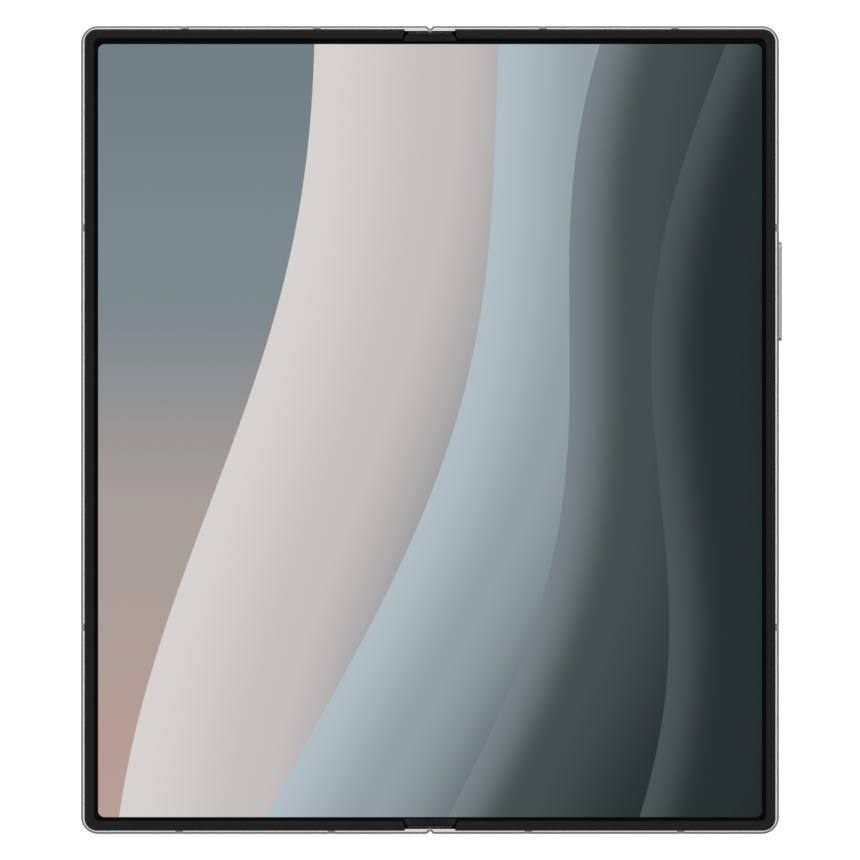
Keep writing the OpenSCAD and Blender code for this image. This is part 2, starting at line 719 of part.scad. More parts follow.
module wing_brackets(bay_y0, bay_y1) intersection() {
    on_both_ends() wing_bracket(bay_y0, bay_y1);
    block([0, half_w], [-half_l, half_l], [0, plate_z]);
}
module left_wing_brackets() color("lightsteelblue") raised()
    on_left() wing_brackets(left_bay_y0, left_bay_y1);
module right_wing_brackets() color("lightsteelblue") raised()
    wing_brackets(right_bay_y0, right_bay_y1);

module wing_screws() wing_screw_places() {
    disc(0, 0, 1.1, wing_top - 0.3, wing_top);
    disc(0, 0, 0.55, deck_z - ledge_t + 0.1, wing_top - 0.29);
}
module left_wing_screws() color("dimgray") raised() on_left() wing_screws();
module right_wing_screws() color("dimgray") raised() wing_screws();

// ---- Boards, their bosses and screws ----

board_z = 2.2;
board_t = 0.7;
board_top = board_z + board_t;
board_x0 = wing_x1 + 1.6;
boss_r = 1.5;
board_screw_r = 0.5;
board_head_r = 1;
shield_z = inner_z + 0.05;
battery_z = inner_z + 0.05;
battery_top = deck_z - seat;
island_w = 2 * (ring_r + island_rim);
island_l = island_w + 2 * ring_pitch;
island_x = half_w - island_margin - island_w / 2;
island_y = half_l - island_margin - island_l / 2;
camera_side = ring_pitch - 1.6;
board_x1 = island_x - camera_side / 2 - 1.4;
board_y1 = half_l - 4;
board_y0 = island_y - ring_pitch - camera_side / 2 + 2;
left_board_y1 = half_l - 12.5;
left_board_x1 = half_w - 4.3;
lower_board_y0 = -(half_l - 4);
lower_board_y1 = -(half_l - 24);
boss_in = 2.2;

// A board's screws stand this far in from its corners
function inside(range) = [range[0] + boss_in, range[1] - boss_in];
main_boss_places = [for (x = inside([board_x0, board_x1]), y = inside([board_y0, board_y1])) [x, y]];
left_boss_places = [for (x = inside([board_x0, left_board_x1]), y = inside([board_y0, left_board_y1]))
    [-x, y]];
lower_boss_places = [for (y = inside([lower_board_y0, lower_board_y1])) [board_x0 + boss_in, y]];

module board_bosses(places) for (p = places) disc(p[0], p[1], boss_r, board_top, deck_z + 0.01);
module board_screw_holes(places) for (p = places) disc(p[0], p[1], board_screw_r + seat, 0, deck_z + 0.5);

module board_screws(places) for (p = places) {
    disc(p[0], p[1], board_head_r, board_z - 0.35, board_z);
    disc(p[0], p[1], board_screw_r, board_z - 0.01, deck_z + 0.4);
}

module board(x, y, places) difference() {
    along_z(board_z, board_top) plate2d(x, y, 1, 1);
    for (p = places) disc(p[0], p[1], board_screw_r + seat, 0, deck_z);
}

module main_board() color("seagreen") raised() difference() {
    board([board_x0, board_x1], [board_y0, board_y1], main_boss_places);
    disc(inner_camera_x, inner_camera_y, 1.5, 0, deck_z);
}
module left_board() color("seagreen") raised()
    board([-left_board_x1, -board_x0], [board_y0, left_board_y1], left_boss_places);
module main_board_screws() color("dimgray") raised() {
    board_screws(main_boss_places);
    board_screws(lower_boss_places);
}
module left_board_screws() color("dimgray") raised() board_screws(left_boss_places);

// Pressed cans over the chips, on the side of the board that faces the back
module shield(x, y) difference() {
    along_z(shield_z, board_z) plate2d(x, y, 0.8, 0.8);
    along_z(shield_z + 0.2, board_z + over)
        plate2d([x[0] + 0.2, x[1] - 0.2], [y[0] + 0.2, y[1] - 0.2], 0.6, 0.6);
}
module shields(x0, x1, y0, y1) {
    mid = y0 + (y1 - y0) * 0.45;
    third = x0 + (x1 - x0) * 0.4;
    shield([x0, x1], [y0, mid - 0.5]);
    shield([x0, third - 0.5], [mid + 0.5, y1]);
    shield([third + 0.5, x1], [mid + 0.5, y1]);
}
module main_shields() color("lightgray") raised()
    shields(board_x0 + 4.2, board_x1 - 1, board_y0 + 4.2, flash_y - flash_r - 1.5);
module left_shields() color("lightgray") raised()
    mirror([1, 0, 0]) shields(board_x0 + 4.2, left_board_x1 - 4.2, board_y0 + 4.2, left_board_y1 - 4.2);

module lower_board() color("seagreen") raised() difference() {
    board([board_x0, speaker_x0 - 1], [lower_board_y0, lower_board_y1], lower_boss_places);
    block([socket_x - socket_half - 0.2, socket_x + socket_half + 0.2],
        [-half_l, socket_back + 0.2], [0, deck_z]);
}

// ---- Batteries, coil, magnets ----

battery_y = [-(module_y0 - 1.9), island_y - ring_pitch - camera_side / 2 - 1.5];
module battery(x, y) {
    along_z(battery_z, battery_top) plate2d(x, y, 1.6, 1.6);
    block([x[0] + 8, x[0] + 20], [y[1] - 0.5, y[1] + 1.2], [battery_top - 0.7, battery_top - 0.2]);
}
module right_battery() color([0.2, 0.2, 0.22]) raised()
    battery([bay_x0 + 0.6, key_rib_x - 0.5], battery_y);
module left_battery() color([0.2, 0.2, 0.22]) raised() on_left()
    battery([bay_x0 + 0.6, bay_x1 - 1.2], battery_y);

coil_r = 20;
module charging_coil() color("chocolate") raised()
    translate([half_w / 2 + 2, (battery_y[0] + battery_y[1]) / 2, 0]) difference() {
        disc(0, 0, coil_r, glass_t + 0.02, glass_t + 0.32);
        disc(0, 0, coil_r - 9.5, 0, 1);
        for (r = [coil_r - 8.5:1:coil_r - 0.5]) difference() {
            disc(0, 0, r + 0.12, glass_t + 0.2, 1);
            disc(0, 0, r - 0.12, 0, 2);
        }
    }

magnet = [1.4, 8, 2.2];
module magnets() on_both_ends()
    translate([bay_x1 - magnet[0] - seat, half_l - 20, inner_z + 0.1]) cube(magnet);
module left_magnets() color("slategray") raised() on_left() magnets();
module right_magnets() color("slategray") raised() magnets();

// ---- Glasses and cover screen ----

cover_camera_x = -half_w / 2;
cover_camera_y = half_l - 7.2;
module cover_glass() color([0.05, 0.05, 0.06]) raised() on_left() along_z(0, glass_t) glass2d(0);
module cover_screen() color([0.1, 0.1, 0.12]) raised() difference() {
    along_z(glass_t, glass_t + cover_screen_t)
        plate2d([-bay_x1 + seat, -bay_x0 - seat], [-bay_y + seat, bay_y - seat], bay_r - seat, 1 - seat);
    disc(cover_camera_x, cover_camera_y, 2, 0, deck_z);
}
module cover_camera() color([0.1, 0.1, 0.1]) raised() translate([cover_camera_x, cover_camera_y, 0]) {
    disc(0, 0, 1.9, glass_t, inner_z + 0.11);
    block([-3.2, 3.2], [-3.2, 3.2], [inner_z + 0.1, deck_z - seat]);
}

module back_glass() color([0.5, 0.53, 0.56]) raised() difference() {
    along_z(0, glass_t) glass2d(0);
    translate([island_x, island_y, -over]) linear_extrude(glass_t + 2 * over)
        pill2d(island_w + 2 * seat, island_l + 2 * seat);
    disc(flash_x, flash_y, flash_r + seat, -over, glass_t + over);
}

// ---- Rear cameras ----

module pill_slab(w, l, pts) {
    low = pts[0][1];
    high = pts[len(pts) - 1][1];
    r = w / 2;
    along_y(-(l - w) / 2, (l - w) / 2) symmetric2d([for (p = pts) [r - p[0], p[1]]]);
    for (s = [0, 1]) rotate([0, 0, 180 * s]) translate([0, (l - w) / 2, 0]) rotate_extrude(angle = 180)
        polygon(concat([[0, low]], [for (p = pts) [r - p[0], p[1]]], [[0, high]]));
}

barrel_r = ring_r - 2.05;
lens_openings = [1.7, 2.3, 2];
module ring_places() for (i = [-1:1]) translate([island_x, island_y + i * ring_pitch, 0]) children();

module camera_island() color([0.42, 0.43, 0.45]) raised() difference() {
    translate([island_x, island_y, 0]) {
        pill_slab(island_w, island_l, [[0.35, -island_out], [0, 0.35 - island_out], [0, glass_t + 0.01]]);
        pill_slab(island_w + 2.4, island_l + 2.4, [[0, glass_t], [0, glass_t + 0.4]]);
    }
    ring_places() disc(0, 0, barrel_r + 0.15, -island_out - over, glass_t + over);
}

module lens_rings() color([0.7, 0.71, 0.73]) raised() ring_places() translate([0, 0, -island_out - ring_out])
    rotate_extrude() polygon([[ring_r - 0.9, 0], [ring_r - 0.3, 0], [ring_r, 0.25], [ring_r, ring_out],
        [barrel_r + 0.15, ring_out], [barrel_r + 0.15, ring_out - 0.2], [ring_r - 0.9, ring_out - 0.2]]);

module lens_glasses() color([0.05, 0.05, 0.08]) raised() ring_places()
    disc(0, 0, ring_r - 0.9 - seat, -island_out - ring_out + 0.12, -island_out - 0.2);

// A camera's front: a stepped hood that narrows to the domed front lens
module camera_front(opening) {
    front_z = -island_out - 0.15;
    hood = 0.75;
    dome_r = 1.5 * opening;
    difference() {
        disc(0, 0, barrel_r, front_z, glass_t + 0.5);
        translate([0, 0, front_z - 0.01]) cylinder(r1 = barrel_r - 0.35, r2 = opening + 0.5, h = hood);
        disc(0, 0, opening + 0.25, front_z, front_z + hood + 0.3);
        disc(0, 0, opening, front_z, front_z + hood + 0.6);
    }
    intersection() {
        translate([0, 0, front_z + hood + dome_r]) sphere(dome_r);
        disc(0, 0, opening + 0.01, front_z, front_z + hood + 0.61);
    }
}
module rear_cameras() color([0.12, 0.12, 0.13]) raised() {
    for (i = [-1:1]) translate([island_x, island_y + i * ring_pitch, 0]) camera_front(lens_openings[i + 1]);
    ring_places() difference() {
        along_z(glass_t + 0.45, plate_z - 0.15)
            plate2d([-camera_side / 2, camera_side / 2], [-camera_side / 2, camera_side / 2], 0.8, 0.8);
        corner = camera_side / 2 - 1.2;
        for (x = [-corner, corner], y = [-corner, corner]) disc(x, y, 0.5, plate_z - 0.6, plate_z);
    }
}

module camera_windows() {
    translate([island_x, island_y, 0]) along_z(deck_z - over, plate_z + 0.01)
        plate2d([-camera_side / 2 - 0.3, camera_side / 2 + 0.3],
            [-ring_pitch - camera_side / 2 - 0.3, ring_pitch + camera_side / 2 + 0.3], 0.8, 0.8);
    disc(inner_camera_x, inner_camera_y, 2.4, deck_z - over, rim_top);
}

flash_r = 1.9;
flash_x = island_x - island_w / 2 - 5;
flash_y = island_y + ring_pitch / 2;
// The flash: a ribbed window set in the glass, over its lamp
module flash() color([0.95, 0.9, 0.7]) raised() difference() {
    union() {
        disc(flash_x, flash_y, flash_r, 0.03, glass_t + 0.01);
        disc(flash_x, flash_y, flash_r + 0.6, glass_t, board_z);
    }
    for (r = [0.5:0.3:flash_r - 0.3]) difference() {
        disc(flash_x, flash_y, r + 0.07, -over, 0.12);
        disc(flash_x, flash_y, r - 0.07, -over, over);
    }
}

inner_camera_x = board_x0 + 12;
inner_camera_y = board_y1 - 5;
module inner_camera() color([0.1, 0.1, 0.1]) raised() translate([inner_camera_x, inner_camera_y, 0]) {
    disc(0, 0, 2.2, deck_z - 0.01, screen_z);
    block([-2.9, 2.9], [-2.9, 2.9], [board_top, deck_z]);
}

// ---- Sound, buzz, socket ----

port_z = 2.5;
speaker_x0 = half_w - 21;
speaker_x1 = half_w - 4.8;
speaker_slot = [2, 0.9];
module slot_row(x0, count, y0, y1) for (i = [0:count - 1])
    along_y(y0, y1) translate([x0 + i * 2.8, port_z]) rotate(90) pill2d(speaker_slot[1], speaker_slot[0]);

module speaker_slots() {
    slot_row(speaker_x0 + 5.4, 4, -half_l - over, -bay_y + over);
    for (x = [socket_x - 8.6, socket_x + 8.6])
        along_y(-half_l - over, -bay_y + over) translate([x, port_z]) circle(0.5);
    along_y(bay_y - over, half_l + over) translate([board_x0 + 16, port_z]) circle(0.5);
}
module loudspeaker() color([0.15, 0.15, 0.16]) raised() difference() {
    along_z(inner_z + 0.05, deck_z - 0.15)
        plate2d([speaker_x0, speaker_x1], [-bay_y + 0.15, -bay_y + 20], 1.5, 1.5);
    for (i = [0:3]) along_y(-half_l, -bay_y + 3)
        translate([speaker_x0 + 5.4 + i * 2.8, port_z]) rotate(90) pill2d(speaker_slot[1], speaker_slot[0]);
}

earpiece_x = -(half_w / 2 + 10.8);
module earpiece_slots() slot_row(earpiece_x, 3, bay_y - over, half_l + over);
module earpiece() color([0.15, 0.15, 0.16]) raised() difference() {
    along_z(inner_z + 0.05, deck_z - 0.15)
        plate2d([earpiece_x - 1.7, earpiece_x + 7.3], [bay_y - 7.2, bay_y - 0.15], 1, 1);
    slot_row(earpiece_x, 3, bay_y - 2, half_l);
}

module vibration_motor() color([0.6, 0.6, 0.62]) raised() difference() {
    along_z(inner_z + 0.05, deck_z - 0.1)
        plate2d([-(board_x0 + 8), -board_x0], [-(half_l - 6), -(half_l - 21)], 2, 2);
    disc(-(board_x0 + 4), -(half_l - 13.5), 2.6, deck_z - 0.4, deck_z);
}

socket_x = half_w / 2;
shell_t = 0.3;
tongue_half = 3.35;
socket_half = usb_w / 2 + shell_t;
socket_back = -half_l + 0.3 + usb_depth;
module socket_opening() {
    along_y(-half_l - over, -bay_y + over) translate([socket_x, port_z]) rotate(90)
        pill2d(usb_h + 2 * (shell_t + seat), usb_w + 2 * (shell_t + seat));
    block([socket_x - socket_half - seat, socket_x + socket_half + seat],
        [-bay_y - 0.01, socket_back + 0.2], [port_z, port_z + usb_h / 2 + shell_t + seat]);
}
module charging_socket() color([0.75, 0.75, 0.77]) raised() difference() {
    along_y(-half_l + 0.3, socket_back) translate([socket_x, port_z]) rotate(90)
        pill2d(usb_h + 2 * shell_t, usb_w + 2 * shell_t);
    difference() {
        along_y(-half_l - over, socket_back - 0.5) translate([socket_x, port_z])
            rotate(90) pill2d(usb_h, usb_w);
        block([socket_x - tongue_half, socket_x + tongue_half], [-half_l + 1.2, socket_back],
            [port_z - 0.35, port_z + 0.35]);
    }
}

// ---- Card tray ----

tray_x = -(bottom_break_x[0] + bottom_break_x[1]) / 2;
tray_z = 2.1;
door_h = 2;
door_t = 1.3;
module door2d(grow) translate([tray_x, tray_z]) plate2d(
    [-tray_w / 2 - grow, tray_w / 2 + grow], [-door_h / 2 - grow, door_h / 2 + grow], 0.7 + grow, 0.7 + grow);
module tray_opening() along_y(-half_l - over, -bay_y + 0.5) door2d(seat);
tray_half = tray_w / 2 - 0.9;
card_half = 4.45;
module card_tray() color("silver") raised() difference() {
    union() {
        along_y(-half_l, -half_l + door_t) door2d(0);
        block([tray_x - tray_half, tray_x + tray_half], [-half_l + door_t - 0.01, -half_l + tray_l],
            [tray_z - 0.6, tray_z + 0.6]);
    }
    block([tray_x - card_half, tray_x + card_half], [-half_l + 2.1, -half_l + tray_l - 0.9],
        [tray_z - 0.25, tray_z + over]);
    along_y(-half_l - over, -half_l + door_t + 0.3)
        translate([tray_x + tray_w / 2 - 1.5, tray_z]) circle(0.45);
}
module card_reader() color("lightgray") raised() difference() {
    block([tray_x - tray_half - 0.4, tray_x + tray_half + 0.4], [-bay_y + 0.1, -half_l + tray_l + 0.8],
        [tray_z - 0.95, tray_z + 0.95]);
    block([tray_x - tray_half - run, tray_x + tray_half + run], [-half_l, -half_l + tray_l + 0.3],
        [tray_z - 0.7, tray_z + 0.7]);
}

// ---- Keys ----

key_z = 2.5;
flange_x1 = bay_x1 - key_travel - 0.08;
flange_x0 = flange_x1 - 0.35;
nub_x0 = flange_x0 - 0.4;
dome_x1 = nub_x0 - 0.25;
dome_x0 = dome_x1 - 0.35;
strip_x0 = dome_x0 - 0.2;
key_rib_x = strip_x0 - 0.6;
volume_dome = volume_l / 2 - 3.2;

module key2d(l, grow) translate([0, key_z]) rotate(90) pill2d(key_h + 2 * grow, l + 2 * grow);
module key_openings() {
    along_x(bay_x1 - over, half_w + over) {
        translate([volume_y, 0]) key2d(volume_l, 0.08);
        translate([side_y, 0]) key2d(side_l, 0.08);
    }
    block([strip_x0, bay_x1], [side_y - side_l / 2 - 1, volume_y + volume_l / 2 + 1],
        [key_z, key_z + key_h / 2 + 0.6]);
}
module key(y, l, out, domes) {
    translate([0, y, 0]) {
        along_x(flange_x1 - 0.01, half_w + out - 0.2) key2d(l, 0);
        along_x(half_w + out - 0.21, half_w + out) key2d(l, -0.15);
        along_x(flange_x0, flange_x1) key2d(l, 0.3);
    }
    for (d = domes) along_x(nub_x0, flange_x0 + 0.01) translate([y + d, key_z]) circle(0.6);
}
module volume_key() color("silver") raised() key(volume_y, volume_l, volume_out, [-volume_dome, volume_dome]);
module side_key() color([0.5, 0.5, 0.52]) raised() key(side_y, side_l, side_out, [0]);
module key_rib() block([key_rib_x, strip_x0], [side_y - side_l / 2, volume_y + volume_l / 2],
    [key_z - 1.1, deck_z + 0.01]);
module key_switches() color("darkorange") raised() {
    block([strip_x0, dome_x0], [side_y - 2, volume_y + volume_dome + 2], [key_z - 1, key_z + 0.9]);
    for (y = [side_y, volume_y - volume_dome, volume_y + volume_dome])
        along_x(dome_x0 - 0.01, dome_x1) translate([y, key_z]) circle(0.9);
}

// ---- Ribbons across the hinge ----

ribbon_z = plate_z - 0.25;
ribbon_y = [10, 22];
ribbon_x = bay_x0 + 6;
module ribbon_ways() on_both_ends()
    block([0, ribbon_x + 0.3], [ribbon_y[0] - 0.3, ribbon_y[1] + 0.3], [ribbon_z - 0.1, plate_z + 0.01]);
module hinge_ribbons() color("darkorange") raised() on_both_ends()
    block([-ribbon_x, ribbon_x], ribbon_y, [ribbon_z, ribbon_z + 0.12]);

hinge_spine();
hinge_bases();
base_screws();
left_idler_gears();
right_idler_gears();
left_sync_arms();
right_sync_arms();
friction_discs();
friction_springs();
fold_lattice();
main_screen_fold();
fold_end_seals();
hinge_ribbons();
left_frame();
left_rim();
left_antenna_breaks();
left_wing_brackets();
left_wing_screws();
left_support_plate();
main_screen_left();
cover_glass();
cover_screen();
cover_camera();
earpiece();
left_battery();
left_board();
left_shields();
left_board_screws();
left_magnets();
vibration_motor();
card_reader();
card_tray();
right_frame();
right_rim();
right_antenna_breaks();
right_wing_brackets();
right_wing_screws();
right_support_plate();
main_screen_right();
back_glass();
camera_island();
lens_rings();
lens_glasses();
rear_cameras();
flash();
charging_coil();
right_battery();
main_board();
main_shields();
main_board_screws();
lower_board();
charging_socket();
loudspeaker();
inner_camera();
right_magnets();
key_switches();
volume_key();
side_key();
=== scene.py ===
# %% [markdown]
# # A folding phone, lying open on a table
# The imported model gives every rigid piece at its real size and place, in metres. This script gives
# each piece its finish, builds the flexible screen and the other bending pieces again, and adds the
# small optical and electrical pieces that show through openings.

# %% Load the imported model
import json
import math

import bmesh
import bpy
from mathutils import Matrix, Vector


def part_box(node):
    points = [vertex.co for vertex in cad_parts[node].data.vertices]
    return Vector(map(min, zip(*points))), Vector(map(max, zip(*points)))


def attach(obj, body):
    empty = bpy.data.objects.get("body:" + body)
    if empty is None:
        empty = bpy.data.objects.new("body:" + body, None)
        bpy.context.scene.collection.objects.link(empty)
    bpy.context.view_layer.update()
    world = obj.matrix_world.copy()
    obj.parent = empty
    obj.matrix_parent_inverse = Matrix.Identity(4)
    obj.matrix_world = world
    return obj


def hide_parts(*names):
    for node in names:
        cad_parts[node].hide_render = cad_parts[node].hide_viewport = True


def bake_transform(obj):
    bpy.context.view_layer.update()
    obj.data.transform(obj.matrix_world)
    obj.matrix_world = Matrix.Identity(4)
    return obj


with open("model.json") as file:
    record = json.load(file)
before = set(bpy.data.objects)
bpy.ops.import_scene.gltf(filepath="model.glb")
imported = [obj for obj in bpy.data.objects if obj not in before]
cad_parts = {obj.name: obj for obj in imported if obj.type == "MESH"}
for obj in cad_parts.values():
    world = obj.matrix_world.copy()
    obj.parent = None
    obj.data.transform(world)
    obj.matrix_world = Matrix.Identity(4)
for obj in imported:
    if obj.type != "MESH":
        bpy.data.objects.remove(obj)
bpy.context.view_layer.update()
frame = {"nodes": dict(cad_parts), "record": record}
scene = bpy.context.scene
MM = 0.001

# %% [markdown]
# ## Camera
# The phone is seen square on from above, and hardly any perspective shows. An orthographic camera
# would show none at all, so a long lens far away is used instead. Its distance follows from the
# width of table that the picture takes in.

# %% Camera
PICTURE_SPAN = 163.4 * MM
LENS = 400.0
SENSOR = 36.0
FAR_CLIP = 100.0
SCREEN_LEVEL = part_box("main_screen_left")[1].z
camera_data = bpy.data.cameras.new("camera")
camera_data.lens = LENS
camera_data.sensor_width = SENSOR
camera_data.clip_end = FAR_CLIP
camera = bpy.data.objects.new("camera", camera_data)
camera.location = (0.0, 0.0, SCREEN_LEVEL + PICTURE_SPAN * LENS / SENSOR)
scene.collection.objects.link(camera)
scene.camera = camera
scene.view_settings.view_transform = "Standard"
print("camera height in metres", round(camera.location.z, 3))

# %% [markdown]
# ## Node helpers
# Materials and the sky are both trees of nodes. A few short helpers keep them readable: each adds
# one node, sets or links its inputs, and hands back its output. Colours are written as they look on
# a display, from 0 to 255, and turned into the linear values that a renderer works with.


# %% Colour helpers
def ink(red, green, blue):
    """A display colour as the linear colour that a renderer takes."""

    def linear(c):
        c /= 255.0
        return c / 12.92 if c <= 0.04045 else ((c + 0.055) / 1.055) ** 2.4

    return (linear(red), linear(green), linear(blue), 1.0)


def shade(grey):
    """A grey with a touch of blue, as bare metal has."""
    return ink(grey, grey, grey + 1)


def darker(colour, share):
    """The colour with only a share of its light."""
    return tuple(share * c for c in colour[:3]) + (1.0,)


WHITE = (1.0, 1.0, 1.0, 1.0)
BLACK = (0.0, 0.0, 0.0, 1.0)
print("a display grey of 128 is", round(shade(128)[0], 3), "in linear light")


# %% Node helpers
class Nodes:
    """Helpers that add nodes to one tree."""

    def __init__(self, tree):
        self.tree = tree

    def link(self, output, socket):
        self.tree.links.new(output, socket)

    def put(self, socket, value):
        if isinstance(value, bpy.types.NodeSocket):
            self.link(value, socket)
        else:
            socket.default_value = value

    def node(self, kind, inputs=None, **settings):
        made = self.tree.nodes.new(kind)
        for name, value in settings.items():
            setattr(made, name, value)
        for name, value in (inputs or {}).items():
            self.put(made.inputs[name], value)
        return made

    def math(self, operation, *values, clamp=False):
        inputs = dict(enumerate(values))
        return self.node("ShaderNodeMath", inputs, operation=operation, use_clamp=clamp).outputs[0]

    def step(self, value, low, high, to_low=0.0, to_high=1.0):
        """Rises smoothly from one value to another while the input goes from low to high."""
        levels = {"Value": value, "From Min": low, "From Max": high}
        levels.update({"To Min": to_low, "To Max": to_high})
        made = self.node("ShaderNodeMapRange", levels, interpolation_type="SMOOTHSTEP")
        return made.outputs["Result"]

    def within(self, value, limit, blur=0.02 * MM):
        """1 where the value lies closer to 0 than the limit."""
        return self.step(self.math("ABSOLUTE", value), limit + blur, limit - blur)

    def both(self, *masks):
        """1 where all the masks are 1."""
        result = masks[0]
        for mask in masks[1:]:
            result = self.math("MULTIPLY", result, mask)
        return result


# %% [markdown]
# ## Finishes
# Every finish starts from the same shader and adds detail in the piece's own coordinates, so that
# the detail stays put when the phone folds. Machined and moulded edges are never quite sharp. A bevel
# modifier could round them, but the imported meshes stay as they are, so a bevel node turns the
# shading's normals near each edge instead, which gives the edge its thin highlight.


# %% Finish helper
class Finish(Nodes):
    """A material with one main shader, and helpers that add detail to it."""

    def __init__(self, name, colour, roughness, metallic=0.0, specular=0.5, edge=0.08 * MM):
        self.material = bpy.data.materials.new(name)
        self.material.use_nodes = True
        super().__init__(self.material.node_tree)
        self.shader = self.tree.nodes["Principled BSDF"]
        self.bump = None
        self.set("Base Color", colour)
        self.set("Roughness", roughness)
        self.set("Metallic", metallic)
        self.set("Specular IOR Level", specular)
        if edge:
            self.bump = self.node("ShaderNodeBevel", {"Radius": edge}, samples=4).outputs["Normal"]
            self.set("Normal", self.bump)

    def set(self, name, value):
        self.put(self.shader.inputs[name], value)

    def mix(self, share, first, second):
        made = self.node("ShaderNodeMix", data_type="RGBA")
        for name, value in (("Factor_Float", share), ("A_Color", first), ("B_Color", second)):
            self.put(next(s for s in made.inputs if s.identifier == name), value)
        return next(s for s in made.outputs if s.identifier == "Result_Color")

    def place(self):
        """The piece's own coordinates at the point, in metres."""
        coordinates = self.node("ShaderNodeTexCoord").outputs["Object"]
        return self.node("ShaderNodeSeparateXYZ", {0: coordinates}).outputs

    def noise(self, size, detail=3.0, stretch=(1.0, 1.0, 1.0)):
        """Noise in the piece's own coordinates, with features of about the size given."""
        coordinates = self.node("ShaderNodeTexCoord").outputs["Object"]
        mapped = self.node("ShaderNodeMapping", {"Vector": coordinates, "Scale": stretch}).outputs[0]
        levels = {"Vector": mapped, "Scale": 1.0 / size, "Detail": detail}
        return self.node("ShaderNodeTexNoise", levels).outputs["Fac"]

    def spread(self, pattern, to_low=0.0, to_high=1.0):
        """Noise lies mostly between 0.3 and 0.7. This spreads it over the range given."""
        return self.step(pattern, 0.3, 0.7, to_low, to_high)

    def raise_by(self, height, depth, strength=1.0):
        """Adds a bump of the depth given, on top of those already there."""
        made = self.node("ShaderNodeBump", {"Distance": depth, "Strength": strength, "Height": height})
        if self.bump:
            self.put(made.inputs["Normal"], self.bump)
        self.bump = made.outputs["Normal"]
        self.set("Normal", self.bump)

    def mottle(self, size, first, second):
        """Lets the colour drift between two shades."""
        colour = self.mix(self.step(self.noise(size), 0.35, 0.65), first, second)
        self.set("Base Color", colour)
        return colour

    def upright(self):
        """The share of the surface's normal that points up out of the screen."""
        normal = self.node("ShaderNodeNewGeometry").outputs["True Normal"]
        turned = self.node("ShaderNodeVectorTransform", {"Vector": normal}, vector_type="NORMAL")
        turned.convert_from = "WORLD"
        turned.convert_to = "OBJECT"
        return self.node("ShaderNodeSeparateXYZ", {0: turned.outputs[0]}).outputs["Z"]


# %% [markdown]
# ## Anodised aluminium
# The frames are anodised aluminium with a bead-blasted skin. Their flat land beside the rims is
# bright, and the chamfer and the sides get darker colours, which is painted shade. Three materials
# on chosen faces would do, but one material that reads the surface's slope needs no list of faces.
# Inside each hinge notch all is painted black as shade, so only the spine's dark end shows there.

# %% Places that the metal finishes need
NOTCH_X = abs(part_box("left_rim")[1].x) + 0.4 * MM
NOTCH_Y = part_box("hinge_spine")[1].y + 0.22 * MM
LIP_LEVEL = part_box("back_glass")[0].z + 0.8 * MM
SPINE_END_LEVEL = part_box("hinge_spine")[1].z - 0.5 * MM
UPWARD_SLOPES = (0.05, 0.15)
CHAMFER_SLOPES = (0.15, 0.4)
LAND_SLOPES = (0.85, 0.95)
# Painted shade: black inside the hinge notches and the spine, and a dim grey on the spine's end tabs
SHADE_BLACK = shade(6)
SPINE_TAB_SHADE = shade(64)
print("hinge notch", round(2 * NOTCH_X / MM, 2), "mm wide")


# %% Anodised aluminium
def blasted(f, roughness):
    """The fine even texture that bead blasting leaves."""
    beads = f.noise(0.1 * MM, 2.0)
    f.set("Roughness", f.spread(beads, roughness - 0.02, roughness + 0.03))
    f.raise_by(beads, 0.002 * MM, 0.4)


def anodised(name, land, side, chamfer_shade, roughness=0.3, edge=0.14 * MM):
    """Blasted metal with painted shade: sides and chamfer darker than the flat land, black in the
    notches.
    """
    f = Finish(name, land, roughness, metallic=1.0, edge=edge)
    slope = f.upright()
    drift = f.spread(f.noise(4 * MM, 2.0))
    # Painted shade: the side and chamfer colours stand for the dimmer light on sloping faces
    metal_and_shade = f.mix(drift, side, darker(side, 0.95))
    metal_and_shade = f.mix(f.step(slope, *CHAMFER_SLOPES), metal_and_shade, chamfer_shade)
    metal_and_shade = f.mix(f.step(slope, *LAND_SLOPES), metal_and_shade, land)
    x, y, z = f.place()
    # Painted shade: everything above the lip level inside the hinge notch is black
    above = f.step(z, LIP_LEVEL, LIP_LEVEL + 0.1 * MM)
    notch_shade = f.both(f.within(x, NOTCH_X), f.within(y, NOTCH_Y), above)
    f.set("Base Color", f.mix(notch_shade, metal_and_shade, SHADE_BLACK))
    blasted(f, roughness)
    return f.material


def spine_cover(name, colour, roughness=0.28):
    """Blasted metal outside; its upward faces inside get painted shade: black, paler grey on each end's
    top tab.
    """
    f = Finish(name, colour, roughness, metallic=1.0, edge=0.14 * MM)
    _, _, z = f.place()
    # Painted shade on the upward faces: black, with a dim grey on the end tabs
    inner = f.mix(f.step(z, SPINE_END_LEVEL, SPINE_END_LEVEL + 0.04 * MM), SHADE_BLACK, SPINE_TAB_SHADE)
    f.set("Base Color", f.mix(f.step(f.upright(), *UPWARD_SLOPES), colour, inner))
    blasted(f, roughness)
    return f.material


# %% [markdown]
# ## Ground and turned metal
# Hinge pieces are ground steel with fine lines along the hinge, and the lens rings are turned, with
# lines round their axis. Lines could be cut as grooves, but they are finer than a mesh can carry, so
# noise that is stretched along the lines drives the bump and the roughness.

# %% Ground metal
ALONG_HINGE = (1.0, 0.04, 1.0)
ALONG_BOARD = (0.2, 1.0, 1.0)
ROUND_ABOUT = (1.0, 1.0, 0.05)
EVERY_WAY = (1.0, 1.0, 1.0)


def ground_steel(name, colour, roughness=0.3, along=ALONG_HINGE):
    """Ground metal. Its lines run the way in which the noise is stretched."""
    f = Finish(name, colour, roughness, metallic=1.0, edge=0.05 * MM)
    lines = f.noise(0.08 * MM, 4.0, stretch=along)
    f.set("Roughness", f.spread(lines, roughness - 0.08, roughness + 0.12))
    f.raise_by(lines, 0.004 * MM, 0.6)
    f.mottle(3 * MM, colour, darker(colour, 0.86))
    return f.material


